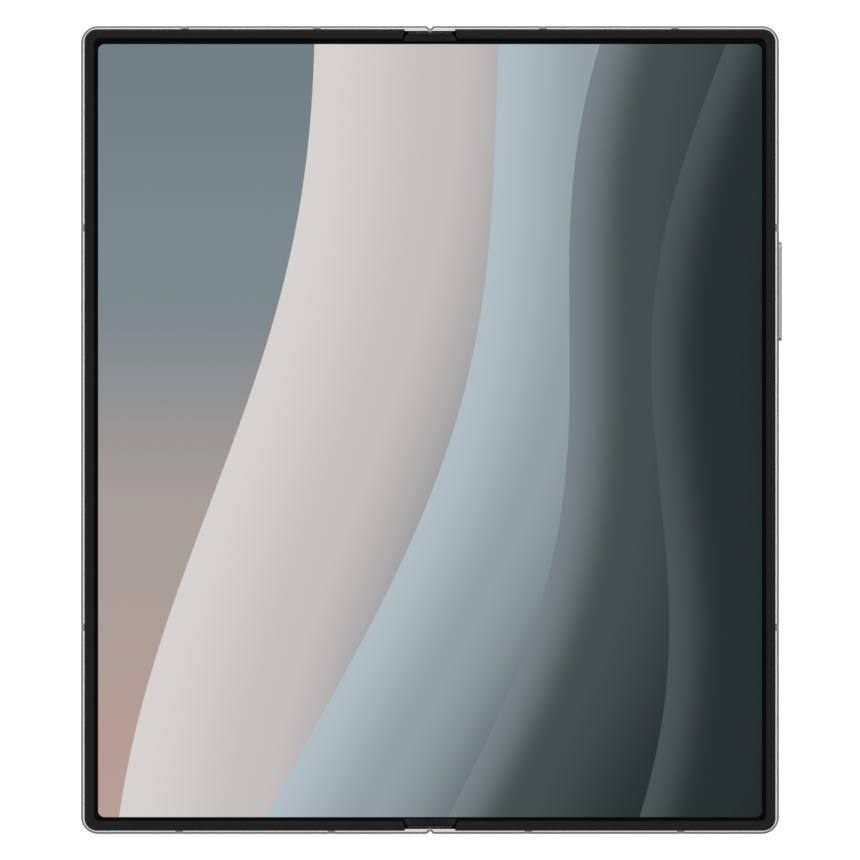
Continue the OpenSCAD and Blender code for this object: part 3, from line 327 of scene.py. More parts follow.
# %% Metal palette
finishes = {
    # The frame's and the key's side and chamfer colours are painted shade, darker than their land
    "frame_metal": anodised("anodised_frame", shade(240), shade(160), shade(114)),
    "key_metal": anodised("anodised_key", shade(208), shade(158), shade(124), edge=0.35 * MM),
    "spine_metal": spine_cover("anodised_spine", shade(196)),
    "camera_metal": anodised("blasted_island", shade(164), shade(164), shade(164), 0.38),
    "ring_metal": ground_steel("turned_rings", shade(206), 0.16, ROUND_ABOUT),
    "hinge_steel": ground_steel("hinge_steel", shade(176)),
    "gear_steel": ground_steel("gear_steel", ink(186, 178, 162), 0.26),
    "spring_steel": ground_steel("spring_wire", shade(168), 0.2, EVERY_WAY),
    "screw_steel": ground_steel("blackened_screws", shade(74), 0.34, EVERY_WAY),
    "lattice_steel": ground_steel("etched_sheet", shade(160), 0.34),
    "shield_metal": ground_steel("tinned_cans", shade(196), 0.3, ALONG_BOARD),
    "magnet_metal": ground_steel("plated_magnets", shade(180), 0.22, EVERY_WAY),
    "socket_metal": ground_steel("socket_shell", shade(176), 0.24),
    "coil_copper": ground_steel("coil_copper", ink(196, 122, 82), 0.3, EVERY_WAY),
}
print("metal finishes", len(finishes))

# %% [markdown]
# ## Polymer and rubber
# The rims and the inner covers are matt polymer with a faint moulded grain, and the rims' sloping
# faces are painted darker, as shade. Displacing the mesh could give the grain, but it is far too fine
# for that, so noise in the bump does. The caps over the screen's ends are rubber, with a painted
# highlight that makes them a little paler towards their own ends.


# %% Polymer and rubber
SKIN_GRAIN = 0.09 * MM
CAP_HIGHLIGHT_FROM = 3.5 * MM
CAP_HIGHLIGHT_FULL = 3.9 * MM
print("moulded grain", round(SKIN_GRAIN / MM, 2), "mm wide")


def grain(f, roughness):
    """The fine skin that a mould leaves."""
    skin = f.noise(SKIN_GRAIN, 2.0)
    f.set("Roughness", f.spread(skin, roughness - 0.06, roughness + 0.08))
    f.raise_by(skin, 0.004 * MM, 0.5)


def moulded(name, colour, roughness=0.55, specular=0.5, slope_shade=1.0):
    """A matt polymer. Its sloping faces can be painted darker than its flat ones, as shade."""
    f = Finish(name, colour, roughness, specular=specular, edge=0.1 * MM)
    grain(f, roughness)
    flat = f.mottle(5 * MM, colour, darker(colour, 0.93))
    if slope_shade < 1.0:
        f.set("Base Color", f.mix(f.step(f.upright(), *LAND_SLOPES), darker(colour, slope_shade), flat))
    return f.material


def seal_rubber(name, roughness=0.6):
    """Rubber with a painted highlight that makes it a little paler towards its two ends."""
    f = Finish(name, shade(16), roughness, specular=0.16, edge=0.1 * MM)
    grain(f, roughness)
    x, _, _ = f.place()
    # Painted highlight: paler towards the cap's two ends
    painted_highlight = f.step(f.math("ABSOLUTE", x), CAP_HIGHLIGHT_FROM, CAP_HIGHLIGHT_FULL)
    f.set("Base Color", f.mix(painted_highlight, shade(15), shade(25)))
    return f.material


# %% [markdown]
# ## Woven fibre and boards
# The plates under the screen are woven fibre. The boards show copper tracks under their solder
# mask, which a brick pattern stands for.

# %% Woven fibre and boards
# Lengths in the board's pattern are counted in millimetres
TRACK_LENGTH, TRACK_PITCH, TRACK_GAP = 2.6, 0.45, 0.05
print("board tracks", TRACK_LENGTH, "mm long, a row every", TRACK_PITCH, "mm")


def woven_fibre(name, tow=1.2 * MM):
    """A plain weave of dark fibre under clear resin."""
    f = Finish(name, shade(30), 0.4)
    x, y, _ = f.place()
    waves = [f.math("SINE", f.math("MULTIPLY", v, math.pi / tow)) for v in (x, y)]
    check = f.step(f.math("MULTIPLY", *waves), -0.1, 0.1)
    f.set("Base Color", f.mix(check, shade(22), shade(44)))
    f.set("Roughness", f.step(check, 0.0, 1.0, 0.32, 0.48))
    f.raise_by(check, 0.02 * MM, 0.4)
    return f.material


def solder_mask(name, board, track):
    """A board's lacquer over short rows of copper tracks."""
    f = Finish(name, board, 0.3)
    coordinates = f.node("ShaderNodeTexCoord").outputs["Object"]
    sizes = {"Vector": coordinates, "Scale": 1.0 / MM, "Mortar Size": TRACK_GAP}
    sizes.update({"Brick Width": TRACK_LENGTH, "Row Height": TRACK_PITCH})
    tracks = f.node("ShaderNodeTexBrick", sizes).outputs["Fac"]
    f.set("Base Color", f.mix(tracks, board, track))
    f.raise_by(tracks, 0.02 * MM, 0.5)
    return f.material


# %% Polymer, rubber and board palette
finishes.update({
    # Painted shade: the rims' sloping faces have half the colour of their flat top
    "rim_polymer": moulded("rim_polymer", shade(22), 0.5, 0.14, 0.5),
    "seal_rubber": seal_rubber("seal_rubber"),
    "antenna_plastic": moulded("antenna_plastic", shade(138), 0.5),
    "battery_wrap": moulded("battery_foil", shade(58), 0.35),
    "ribbon_film": moulded("ribbon_film", ink(150, 92, 40), 0.35),
    "plate_carbon": woven_fibre("carbon_plate"),
    "board_laminate": solder_mask("board_laminate", ink(24, 72, 46), ink(46, 104, 62)),
})
print("finishes so far", len(finishes))

# %% [markdown]
# ## Camera finishes
# Each camera is a matt black barrel round a front lens with the violet gloss of its coating. The
# lenses could be separate pieces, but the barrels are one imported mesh, so the finish finds them: the
# three cameras stand in a row, and wrapping the coordinate along the row gives the distance from the
# nearest lens axis. Close to an axis and deep inside is the front lens. The windows above the
# cameras are clear glass with a thin film on it, and the flash is pale resin over a yellow lamp.

# %% Camera places
rings_low, rings_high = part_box("lens_rings")
RING_WIDTH = rings_high.x - rings_low.x
LENS_PITCH = (rings_high.y - rings_low.y - RING_WIDTH) / 2
LENS_ROW = (rings_low + rings_high) / 2
FRONT_LENS_R = 2.32 * MM
FRONT_LENS_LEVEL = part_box("lens_glasses")[1].z + 0.77 * MM
FRONT_LENS_POLISH = 0.42
BARREL_ROUGHNESS = (0.44, 0.58)
LENS_COATING = 380.0
FLASH_LAMP_R = 1.2 * MM
FLASH_LAMP_CORE_R = 0.5 * MM
print("lens pitch", round(LENS_PITCH / MM, 2), "mm, row at x", round(LENS_ROW.x / MM, 2))


# %% Camera finishes
def distance_from(f, x, y, centre):
    """Distance in the screen's plane from an upright axis."""
    across = f.math("POWER", f.math("SUBTRACT", x, centre.x), 2.0)
    along = f.math("POWER", f.math("SUBTRACT", y, centre.y), 2.0)
    return f.math("SQRT", f.math("ADD", across, along))


def camera_parts(name):
    """Matt black barrels with a glossy front lens in each."""
    f = Finish(name, shade(20), 0.5, specular=0.4)
    x, y, z = f.place()
    row = f.math("WRAP", f.math("SUBTRACT", y, LENS_ROW.y), LENS_PITCH / 2, -LENS_PITCH / 2)
    reach = distance_from(f, x, row, Vector((LENS_ROW.x, 0.0, 0.0)))
    deep = f.step(z, FRONT_LENS_LEVEL - 0.04 * MM, FRONT_LENS_LEVEL)
    front = f.both(f.within(reach, FRONT_LENS_R), deep)
    f.set("Base Color", f.mix(front, shade(16), ink(26, 20, 58)))
    skin = f.spread(f.noise(SKIN_GRAIN, 2.0), *BARREL_ROUGHNESS)
    f.set("Roughness", f.math("MULTIPLY_ADD", front, -FRONT_LENS_POLISH, skin))
    return f.material


def clear_glass(name, coating=0.0):
    """Clear glass. The coating is the thickness of its film in nanometres."""
    f = Finish(name, WHITE, 0.0, edge=0.0)
    f.set("Transmission Weight", 1.0)
    f.set("IOR", 1.5)
    f.set("Thin Film Thickness", coating)
    wave = f.noise(5 * MM, 1.0)
    f.raise_by(wave, 0.001 * MM, 0.3)
    return f.material


def flash_window(name):
    """Pale resin that is yellow over its lamp."""
    low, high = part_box("flash")
    f = Finish(name, ink(244, 238, 214), 0.16)
    x, y, _ = f.place()
    reach = distance_from(f, x, y, (low + high) / 2)
    lamp = f.step(reach, FLASH_LAMP_R, FLASH_LAMP_CORE_R)
    f.set("Base Color", f.mix(lamp, ink(238, 236, 224), ink(248, 206, 96)))
    f.set("Coat Weight", 0.7)
    return f.material


finishes["camera_black"] = camera_parts("camera_black")
finishes["lens_glass"] = clear_glass("lens_glass", LENS_COATING)
finishes["flash_lens"] = flash_window("flash_window")
print("front lenses", round(2 * FRONT_LENS_R / MM, 2), "mm wide")

# %% [markdown]
# ## Glass faces
# The cover glass is clear, but all that shows behind it is black: a panel that is switched off, in a
# slightly blacker border, and a small camera in its hole. Real glass over real pieces would cost long
# renders and look the same, so the glass carries them as rings and a field, drawn by distance. The
# back glass is etched, so it is pale, soft and hardly mirrors.


# %% Glass faces
PANEL_BORDER = 0.9 * MM
HOLE_R = 1.9 * MM
HOOD_R, HOOD_HALF_WIDTH = 1.25 * MM, 0.1 * MM
PUPIL_R, PUPIL_BLUR = 0.75 * MM, 0.2 * MM


def cover_face(name):
    """Black glass over a panel that is switched off, with a camera in its hole."""
    f = Finish(name, shade(5), 0.04, specular=0.3, edge=0.16 * MM)
    x, y, _ = f.place()
    low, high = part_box("cover_screen")
    middle, half = (low + high) / 2, (high - low) / 2
    panel = f.both(f.within(f.math("SUBTRACT", x, middle.x), half.x - PANEL_BORDER),
                   f.within(f.math("SUBTRACT", y, middle.y), half.y - PANEL_BORDER))
    low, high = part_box("cover_camera")
    reach = distance_from(f, x, y, (low + high) / 2)
    face = f.mix(panel, shade(3), shade(24))
    face = f.mix(f.within(reach, HOLE_R), face, shade(2))
    face = f.mix(f.within(f.math("SUBTRACT", reach, HOOD_R), HOOD_HALF_WIDTH), face, shade(84))
    face = f.mix(f.within(reach, PUPIL_R, PUPIL_BLUR), face, ink(36, 42, 92))
    f.set("Base Color", face)
    return f.material


def etched_glass(name, colour, roughness):
    """Glass with a fine satin skin."""
    f = Finish(name, colour, roughness, edge=0.16 * MM)
    etch = f.noise(0.05 * MM, 2.0)
    f.set("Roughness", f.spread(etch, roughness - 0.05, roughness + 0.05))
    f.raise_by(etch, 0.002 * MM, 0.4)
    f.mottle(30 * MM, colour, darker(colour, 0.97))
    return f.material


def glazed(name, colour, roughness):
    """A smooth glossy sheet whose colour drifts a little."""
    f = Finish(name, colour, roughness)
    f.mottle(9 * MM, colour, darker(colour, 0.93))
    return f.material


finishes.update({
    "cover_glass": cover_face("cover_glass"),
    "cover_panel": glazed("cover_panel", shade(14), 0.1),
    "screen_film": glazed("screen_film", shade(10), 0.06),
    "back_glass": etched_glass("etched_back", ink(176, 180, 186), 0.32),
})
print("finishes in the palette", len(finishes))

# %% [markdown]
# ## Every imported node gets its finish
# The model's record names a material slot for each node, and the palette has one finish for each
# slot, so one loop dresses all the nodes. Setting them by hand would do for a few nodes only.

# %% Finishes on the nodes
for subpart in frame["record"]["subparts"]:
    node = frame["nodes"][subpart["node"]]
    node.data.materials.clear()
    node.data.materials.append(finishes[subpart["material_slot"]])

# %% [markdown]
# ## The picture on the screen
# A lit screen is a light source behind clear film, so the picture goes into the emission, and the
# shader keeps its gloss. An image would be the usual way. Here the material draws the picture itself,
# in the screen's own flat map, so it needs no file. It is a plain abstract design: broad folds like
# draped cloth, in slate, pale grey, rose and dark teal. Each fold is the distance from a swaying line,
# run through a ramp of colours.

# %% Picture sizes and colours
PICTURE_X = 63.04 * MM
PICTURE_Y = 73.42 * MM
PICTURE_DROP = 0.12 * MM
PICTURE_R = 1.24 * MM
CREASE_HALF = 2.4 * MM
CREASE_DEPTH = 0.03 * MM
LIT_BLUR = 0.03 * MM
FOLD_BLUR = 0.0015
TEAL = ink(38, 49, 50)
BACKDROP = [(0.0, ink(184, 157, 147)), (0.35, ink(170, 158, 154)), (0.7, ink(122, 136, 143)),
            (1.0, ink(112, 127, 134))]
# Each fold has a start, lean, sway, waves and phase for its line, then its reach and its colours
FOLDS = [
    (-0.62, 0.22, 0.10, 2.2, 0.4, 0.75,
     [(0.0, ink(214, 210, 208)), (0.55, ink(196, 190, 188)), (1.0, ink(150, 152, 155))]),
    (-0.08, 0.34, 0.15, 2.0, 1.5, 0.7,
     [(0.0, ink(176, 190, 198)), (0.4, ink(146, 160, 168)), (1.0, ink(84, 98, 102))]),
    (0.34, 0.30, 0.13, 2.4, 2.5, 0.6,
     [(0.0, ink(118, 130, 135)), (0.3, ink(66, 78, 80)), (1.0, TEAL)]),
    (0.72, 0.16, 0.10, 2.8, 3.6, 0.45,
     [(0.0, ink(72, 84, 86)), (0.35, TEAL), (1.0, ink(30, 38, 39))]),
]
print("picture in mm", round(2 * PICTURE_X / MM, 1), "by", round(2 * PICTURE_Y / MM, 1))


# %% Picture helpers
def ramp(f, value, stops):
    """Colours that ease into each other at the places given."""
    made = f.node("ShaderNodeValToRGB", {"Fac": value})
    made.color_ramp.interpolation = "EASE"
    elements = made.color_ramp.elements
    elements[0].position, elements[0].color = stops[0]
    elements[1].position, elements[1].color = stops[-1]
    for place, colour in stops[1:-1]:
        elements.new(place).color = colour
    return made.outputs["Color"]


def past_line(f, u, v, start, lean, sway, waves, phase):
    """Signed distance from a swaying line that runs from the top to the bottom."""
    swing = f.math("SINE", f.math("MULTIPLY_ADD", v, waves, phase))
    line = f.math("MULTIPLY_ADD", swing, sway, f.math("MULTIPLY_ADD", v, lean, start))
    return f.math("SUBTRACT", u, line)


def lit_area(f, u, v):
    """1 inside a rectangle with rounded corners, which is the part that shines."""
    squares = []
    for value, half in ((u, PICTURE_X), (v, PICTURE_Y)):
        size = f.math("MULTIPLY", f.math("ABSOLUTE", value), half)
        overhang = f.math("MAXIMUM", f.math("SUBTRACT", size, half - PICTURE_R), 0.0)
        squares.append(f.math("POWER", overhang, 2.0))
    radius = f.math("SQRT", f.math("ADD", *squares))
    return f.step(radius, PICTURE_R + LIT_BLUR, PICTURE_R - LIT_BLUR)


# %% Picture of draped folds
def draped_picture(name):
    """Film over a lit picture of draped folds."""
    f = Finish(name, shade(4), 0.05, specular=0.5, edge=0.0)
    flat_map = f.node("ShaderNodeUVMap", uv_map="flat").outputs["UV"]
    split = f.node("ShaderNodeSeparateXYZ", {0: flat_map}).outputs
    # u and v run over the picture from -1 to 1
    u = f.math("MULTIPLY_ADD", split["X"], 2.0, -1.0)
    v = f.math("MULTIPLY_ADD", split["Y"], 2.0, -1.0)
    picture = ramp(f, f.math("MULTIPLY_ADD", v, 0.5, 0.5), BACKDROP)
    for *line, reach, stops in FOLDS:
        distance = past_line(f, u, v, *line)
        colours = ramp(f, f.math("DIVIDE", distance, reach, clamp=True), stops)
        picture = f.mix(f.step(distance, -FOLD_BLUR, FOLD_BLUR), picture, colours)
    f.set("Emission Color", f.mix(lit_area(f, u, v), BLACK, picture))
    f.set("Emission Strength", 1.0)
    # The film dips a little along the fold
    dip = f.step(f.math("ABSOLUTE", f.math("MULTIPLY", u, PICTURE_X)), 0.0, CREASE_HALF)
    f.raise_by(dip, CREASE_DEPTH)
    return f.material


picture_finish = draped_picture("lit_picture")
print("folds in the picture", len(FOLDS))

# %% [markdown]
# ## Pieces that bend
# The screen, the slotted sheet below it, the end seals and the ribbons cross the hinge. An armature
# could bend them, but each is made in two halves that meet over the middle of the spine, which needs
# no bones. A half is cut into narrow strips near the fold.

# %% Cutting helpers
BEND_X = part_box("main_screen_fold")[1].x
STRIPS = 13
SAME_POINT = 1e-7
SIDES = (("left", -1), ("right", 1))
# A shorter stretch is given for the slotted sheet, which lies near the gears and their arms
SHEET_BEND = (2.2 * MM, 0.3 * MM)
WHOLE_BEND = (BEND_X, 0.0)
print("the bend reaches", round(BEND_X / MM, 2), "mm each way, in", STRIPS, "strips")


def slice_mesh(bm, x):
    """Adds a row of edges where the mesh crosses a plane."""
    whole = bm.verts[:] + bm.edges[:] + bm.faces[:]
    bmesh.ops.bisect_plane(bm, geom=whole, plane_co=(x, 0, 0), plane_no=(1, 0, 0))


def cut_into_strips(bm, side):
    for i in range(1, STRIPS + 1):
        slice_mesh(bm, side * BEND_X * i / STRIPS)
    bmesh.ops.recalc_face_normals(bm, faces=bm.faces)


def one_side(mesh, side):
    """The part of a mesh on one side of x = 0, closed there, and cut into strips."""
    bm = bmesh.new()
    bm.from_mesh(mesh)
    bmesh.ops.remove_doubles(bm, verts=bm.verts, dist=SAME_POINT)
    whole = bm.verts[:] + bm.edges[:] + bm.faces[:]
    middle = {"plane_co": (0, 0, 0), "plane_no": (-side, 0, 0), "clear_outer": True}
    cut = bmesh.ops.bisect_plane(bm, geom=whole, **middle)["geom_cut"]
    bmesh.ops.holes_fill(bm, edges=[e for e in cut if isinstance(e, bmesh.types.BMEdge)])
    cut_into_strips(bm, side)
    made = bpy.data.meshes.new("half")
    bm.to_mesh(made)
    bm.free()
    return made


# %% Bending helpers
def add_piece(name, mesh, material):
    """A new object in the scene with one material."""
    mesh.materials.clear()
    mesh.materials.append(material)
    piece = bpy.data.objects.new(name, mesh)
    scene.collection.objects.link(piece)
    return piece


def bend(piece, side, outer, inner):
    """Moves the piece's place into its mesh. Side, outer and inner are not used."""
    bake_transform(piece)


# %% Slotted sheet, seals and ribbons
for node_name, slot, stretch in (("fold_lattice", "lattice_steel", SHEET_BEND),
                                 ("fold_end_seals", "seal_rubber", WHOLE_BEND),
                                 ("hinge_ribbons", "ribbon_film", WHOLE_BEND)):
    for word, side in SIDES:
        mesh = one_side(frame["nodes"][node_name].data, side)
        bent = add_piece(node_name + "_" + word, mesh, finishes[slot])
        bend(bent, side, *stretch)
        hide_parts(node_name)
    print(node_name, "halves with", len(bent.data.polygons), "faces each")


# %% [markdown]
# ## The main screen
# The real screen is one flexible panel from edge to edge. Its outline has small round corners under
# the rims. A plane with a corner modifier would do as well, but a polygon that is worked out and
# raised gives clean strips, and its flat map carries the picture across both halves. The walls are
# added one by one, because an extruded face gets its walls in an order that changes with each run.


# %% Main screen
def screen_half(side, corner=1.15 * MM, corner_steps=8):
    """Half of the panel as a flat slab, with its flat map."""
    low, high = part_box("main_screen_left")[0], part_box("main_screen_right")[1]
    points = [(0.0, low.y)]
    for centre_y, start in ((low.y + corner, -90), (high.y - corner, 0)):
        for i in range(corner_steps + 1):
            angle = math.radians(start + 90 * i / corner_steps)
            x = high.x - corner + corner * math.cos(angle)
            points.append((x, centre_y + corner * math.sin(angle)))
    points.append((0.0, high.y))
    bm = bmesh.new()
    under, over = [[bm.verts.new((side * x, y, z)) for x, y in points] for z in (low.z, high.z)]
    bm.faces.new(under)
    bm.faces.new(over)
    for i in range(len(points)):
        bm.faces.new((under[i - 1], under[i], over[i], over[i - 1]))
    cut_into_strips(bm, side)
    flat = bm.loops.layers.uv.new("flat")
    for face in bm.faces:
        for loop in face.loops:
            x, y, _ = loop.vert.co
            loop[flat].uv = (0.5 + 0.5 * x / PICTURE_X, 0.5 + 0.5 * (y + PICTURE_DROP) / PICTURE_Y)
    mesh = bpy.data.meshes.new("screen")
    bm.to_mesh(mesh)
    bm.free()
    return mesh


for word, side in SIDES:
    panel = add_piece("main_screen_panel_" + word, screen_half(side), picture_finish)
    bend(panel, side, *WHOLE_BEND)
    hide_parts("main_screen_" + word, "main_screen_fold")
print("screen halves with", len(panel.data.polygons), "faces")

# %% [markdown]
# ## Lips at the spine's ends
# The frames all but meet over the spine. A thin lip on each end of the spine stands in the slit
# between them, so that light shows only through the slit's outer end. Each lip is a block with
# rounded edges. A bevel modifier would round them too, but one bevel over both blocks, done while
# the mesh is made, leaves nothing to apply.

# %% Spine lips
LIP_SIZE = Vector((0.24 * MM, 0.88 * MM, 2.1 * MM))
LIP_ROOT = 0.1 * MM
LIP_TOP = 5.9 * MM
LIP_ROUND = 0.04 * MM
lip_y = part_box("hinge_spine")[1].y - LIP_ROOT + LIP_SIZE.y / 2
bm = bmesh.new()
for way in (-1, 1):
    middle = Vector((0.0, way * lip_y, LIP_TOP - LIP_SIZE.z / 2))
    bmesh.ops.create_cube(bm, size=1.0, matrix=Matrix.LocRotScale(middle, None, LIP_SIZE))
bmesh.ops.bevel(bm, geom=bm.edges[:], offset=LIP_ROUND, segments=2, profile=0.5, affect="EDGES")
lip_mesh = bpy.data.meshes.new("lips")
bm.to_mesh(lip_mesh)
bm.free()
# Painted shade: the lips' tops are a darker grey than their sides, and black inside the notch
shaded_lip_metal = anodised("anodised_lips", shade(150), shade(196), shade(140))
lips = add_piece("spine_end_lips", lip_mesh, shaded_lip_metal)
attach(lips, "spine")
print("lips with", len(lip_mesh.polygons), "faces")

# %% [markdown]
# ## Repeated small pieces
# The contacts in the charging socket, the wire mesh behind the sound slots and the ridges inside the
# camera hoods all repeat one shape by a rule. Geometry Nodes suit that: a recipe takes named sizes,
# puts one shape on many points and joins the copies. The result becomes a plain mesh.


# %% Recipe helper
class Recipe(Nodes):
    """A Geometry Nodes tree that turns named sizes into one plain mesh."""

    def __init__(self, name, **sizes):
        super().__init__(bpy.data.node_groups.new(name, "GeometryNodeTree"))
        face = self.tree.interface
        face.new_socket("Geometry", in_out="INPUT", socket_type="NodeSocketGeometry")
        face.new_socket("Geometry", in_out="OUTPUT", socket_type="NodeSocketGeometry")
        self.keys = {}
        for word, value in sizes.items():
            kind = "NodeSocketInt" if isinstance(value, int) else "NodeSocketFloat"
            self.keys[word] = face.new_socket(word, in_out="INPUT", socket_type=kind).identifier
        self.sizes = sizes
        self.given = self.node("NodeGroupInput").outputs

    def vector(self, x=0.0, y=0.0, z=0.0):
        return self.node("ShaderNodeCombineXYZ", {"X": x, "Y": y, "Z": z}).outputs[0]

    def row(self, count, pitch, axis):
        """Points in a straight row, centred on the origin."""
        back = self.math("MULTIPLY", pitch, -0.5)
        start = self.math("MULTIPLY", self.math("SUBTRACT", count, 1), back)
        inputs = {"Count": count, "Start Location": self.vector(**{axis: start})}
        inputs["Offset"] = self.vector(**{axis: pitch})
        return self.node("GeometryNodeMeshLine", inputs).outputs["Mesh"]

    def copies(self, points, shape, **more):
        """The shape on every point."""
        inputs = {"Points": points, "Instance": shape}
        inputs.update(more)
        return self.node("GeometryNodeInstanceOnPoints", inputs).outputs["Instances"]

    def realized(self, shape):
        return self.node("GeometryNodeRealizeInstances", {"Geometry": shape}).outputs["Geometry"]

    def finish(self, shape, material):
        """Ends the tree: the copies become real, and get their material."""
        inputs = {"Geometry": self.realized(shape), "Material": material}
        done = self.node("GeometryNodeSetMaterial", inputs)
        self.link(done.outputs["Geometry"], self.node("NodeGroupOutput").inputs["Geometry"])

    def mesh(self, **changed):
        """The finished mesh, with some of the sizes changed."""
        holder = bpy.data.objects.new("holder", bpy.data.meshes.new("holder"))
        scene.collection.objects.link(holder)
        modifier = holder.modifiers.new("recipe", "NODES")
        modifier.node_group = self.tree
        for word, value in {**self.sizes, **changed}.items():
            modifier[self.keys[word]] = value
        evaluated = holder.evaluated_get(bpy.context.evaluated_depsgraph_get())
        made = bpy.data.meshes.new_from_object(evaluated)
        bpy.data.objects.remove(holder)
        return made


def settle(name, mesh, material, move, body):
    """Puts a finished mesh in its place as a piece of the phone."""
    mesh.transform(Matrix.Translation(move))
    piece = add_piece(name, mesh, material)
    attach(piece, body)
    print(name, len(piece.data.polygons), "faces")


# %% [markdown]
# ## Socket contacts
# The charging socket's tongue carries twelve flat contacts on each face, half a millimetre apart.
# Array modifiers would repeat them too. The recipe repeats one pad along a row, and the row on both
# faces of the tongue, and each of its numbers has a name.


# %% Socket contacts
CONTACT_INSET = 2.9 * MM


def contact_recipe(material):
    """Pads in a row on both faces of the tongue."""
    r = Recipe("contacts", count=12, pitch=0.5 * MM, width=0.26 * MM, length=3.6 * MM,
               thick=0.05 * MM, rise=0.7 * MM)
    size = r.vector(r.given["width"], r.given["length"], r.given["thick"])
    pad = r.node("GeometryNodeMeshCube", {"Size": size}).outputs["Mesh"]
    row = r.copies(r.row(r.given["count"], r.given["pitch"], "x"), pad)
    r.finish(r.copies(r.row(2, r.given["rise"], "z"), row), material)
    return r


gold = ground_steel("gold_contacts", ink(226, 186, 104), 0.2)
socket_low, socket_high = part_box("charging_socket")
socket_middle = (socket_low + socket_high) / 2
contact_place = Vector((socket_middle.x, socket_low.y + CONTACT_INSET, socket_middle.z))
contacts = contact_recipe(gold).mesh()
settle("socket_contacts", contacts, gold, contact_place, "right_half")

# %% [markdown]
# ## Wire mesh behind the sound slots
# Fine wire mesh keeps dust out of the loudspeaker and the earpiece. A picture of mesh would look flat
# from close by, so these are real wires. Each slot has round ends, and a wire that stands at a
# distance from the slot's middle is as long as the chord there, so the recipe works out each wire's
# length from its own place. Upright and level wires together make a patch, one for every slot.


# %% Wire mesh
SLOT_PITCH = 2.8 * MM
MESH_INSET = 0.45 * MM
FIRST_SPEAKER_SLOT = 5.4 * MM
FIRST_EARPIECE_SLOT = 1.7 * MM
SPEAKER_SLOTS, EARPIECE_SLOTS = 4, 3


def mesh_recipe(material):
    """Crossing wires that end at the outline of each slot."""
    r = Recipe("slot_mesh", slots=SPEAKER_SLOTS, slot_pitch=SLOT_PITCH, length=2.0 * MM,
               height=0.9 * MM, pitch=0.15 * MM, wire=0.05 * MM)
    given = r.given
    radius = r.math("MULTIPLY", given["height"], 0.5)
    straight = r.math("MULTIPLY", r.math("SUBTRACT", given["length"], given["height"]), 0.5)
    position = r.node("GeometryNodeInputPosition").outputs[0]
    x, _, z = r.node("ShaderNodeSeparateXYZ", {0: position}).outputs

    def chord(distance):
        """Half the width of a round end at a distance from its middle."""
        gap = r.math("SUBTRACT", r.math("POWER", radius, 2.0), r.math("POWER", distance, 2.0))
        return r.math("SQRT", r.math("MAXIMUM", gap, 0.0))

    thin = r.math("MULTIPLY", given["wire"], 0.5)
    shape = {"Vertices": 6, "Radius": thin, "Depth": 1.0}
    bar = r.node("GeometryNodeMeshCylinder", shape).outputs["Mesh"]

    def wires(extent, axis, half, **turn):
        """A row of wires across an extent, each twice as long as its half."""
        count = r.math("FLOOR", r.math("DIVIDE", extent, given["pitch"]))
        scale = r.vector(1.0, 1.0, r.math("MULTIPLY", half, 2.0))
        return r.copies(r.row(count, given["pitch"], axis), bar, Scale=scale, **turn)

    beyond = r.math("MAXIMUM", r.math("SUBTRACT", r.math("ABSOLUTE", x), straight), 0.0)
    upright = wires(given["length"], "x", chord(beyond))
    lying = (0.0, math.pi / 2, 0.0)
    level = wires(given["height"], "z", r.math("ADD", straight, chord(z)), Rotation=lying)
    join = r.node("GeometryNodeJoinGeometry")
    for part in (upright, level):
        r.link(part, join.inputs[0])
    r.finish(r.copies(r.row(given["slots"], given["slot_pitch"], "x"), join.outputs[0]), material)
    return r


black_mesh = ground_steel("black_mesh", shade(96), 0.4, EVERY_WAY)
slot_mesh = mesh_recipe(black_mesh)
end_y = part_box("right_frame")[1].y - MESH_INSET
for name, sounder, first, slots, y, body in (
    ("speaker_mesh", "loudspeaker", FIRST_SPEAKER_SLOT, SPEAKER_SLOTS, -end_y, "right_half"),
    ("earpiece_mesh", "earpiece", FIRST_EARPIECE_SLOT, EARPIECE_SLOTS, end_y, "left_half"),
):
    middle_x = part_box(sounder)[0].x + first + (slots - 1) / 2 * SLOT_PITCH
    place = Vector((middle_x, y, socket_middle.z))
    settle(name, slot_mesh.mesh(slots=slots), black_mesh, place, body)

# %% [markdown]
# ## Ridges inside the camera hoods
# A camera's hood narrows towards its lens, and fine ridges on its wall stop stray light. A turned
# profile would give them as well. As a recipe they are rings of round wire whose radius shrinks
# evenly with depth: points in a column carry a unit circle scaled to the ring's radius, and one small
# profile is swept round all of them.


# %% Hood ridges
LENS_OPENINGS = (1.7 * MM, 2.3 * MM, 2.0 * MM)
HOOD_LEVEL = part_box("lens_glasses")[1].z + 0.1 * MM
HOOD_MARGIN = 0.6 * MM
RING_STEPS = 56
WIRE_STEPS = 6


def ridge_recipe(material):
    """Rings of wire that narrow with depth."""
    r = Recipe("ridges", rings=5, wide=4.18 * MM, narrow=2.4 * MM, depth=0.6 * MM, wire=0.035 * MM)
    given = r.given
    spaces = r.math("SUBTRACT", given["rings"], 1)
    pitch = r.math("DIVIDE", given["depth"], spaces)
    column = {"Count": given["rings"], "Offset": r.vector(z=pitch)}
    points = r.node("GeometryNodeMeshLine", column).outputs["Mesh"]
    share = r.math("DIVIDE", r.node("GeometryNodeInputIndex").outputs[0], spaces)
    taper = r.math("SUBTRACT", given["narrow"], given["wide"])
    radius = r.math("MULTIPLY_ADD", share, taper, given["wide"])

    def circle(steps, size):
        inputs = {"Resolution": steps, "Radius": size}
        return r.node("GeometryNodeCurvePrimitiveCircle", inputs).outputs["Curve"]

    profile = circle(WIRE_STEPS, given["wire"])
    rings = r.copies(points, circle(RING_STEPS, 1.0), Scale=r.vector(radius, radius, 1.0))
    rings = r.realized(rings)
    tube = r.node("GeometryNodeCurveToMesh", {"Curve": rings, "Profile Curve": profile}).outputs["Mesh"]
    r.finish(tube, material)
    return r


def joined(meshes):
    """Several meshes as one."""
    bm = bmesh.new()
    for mesh in meshes:
        bm.from_mesh(mesh)
    made = bpy.data.meshes.new("joined")
    bm.to_mesh(made)
    bm.free()
    return made


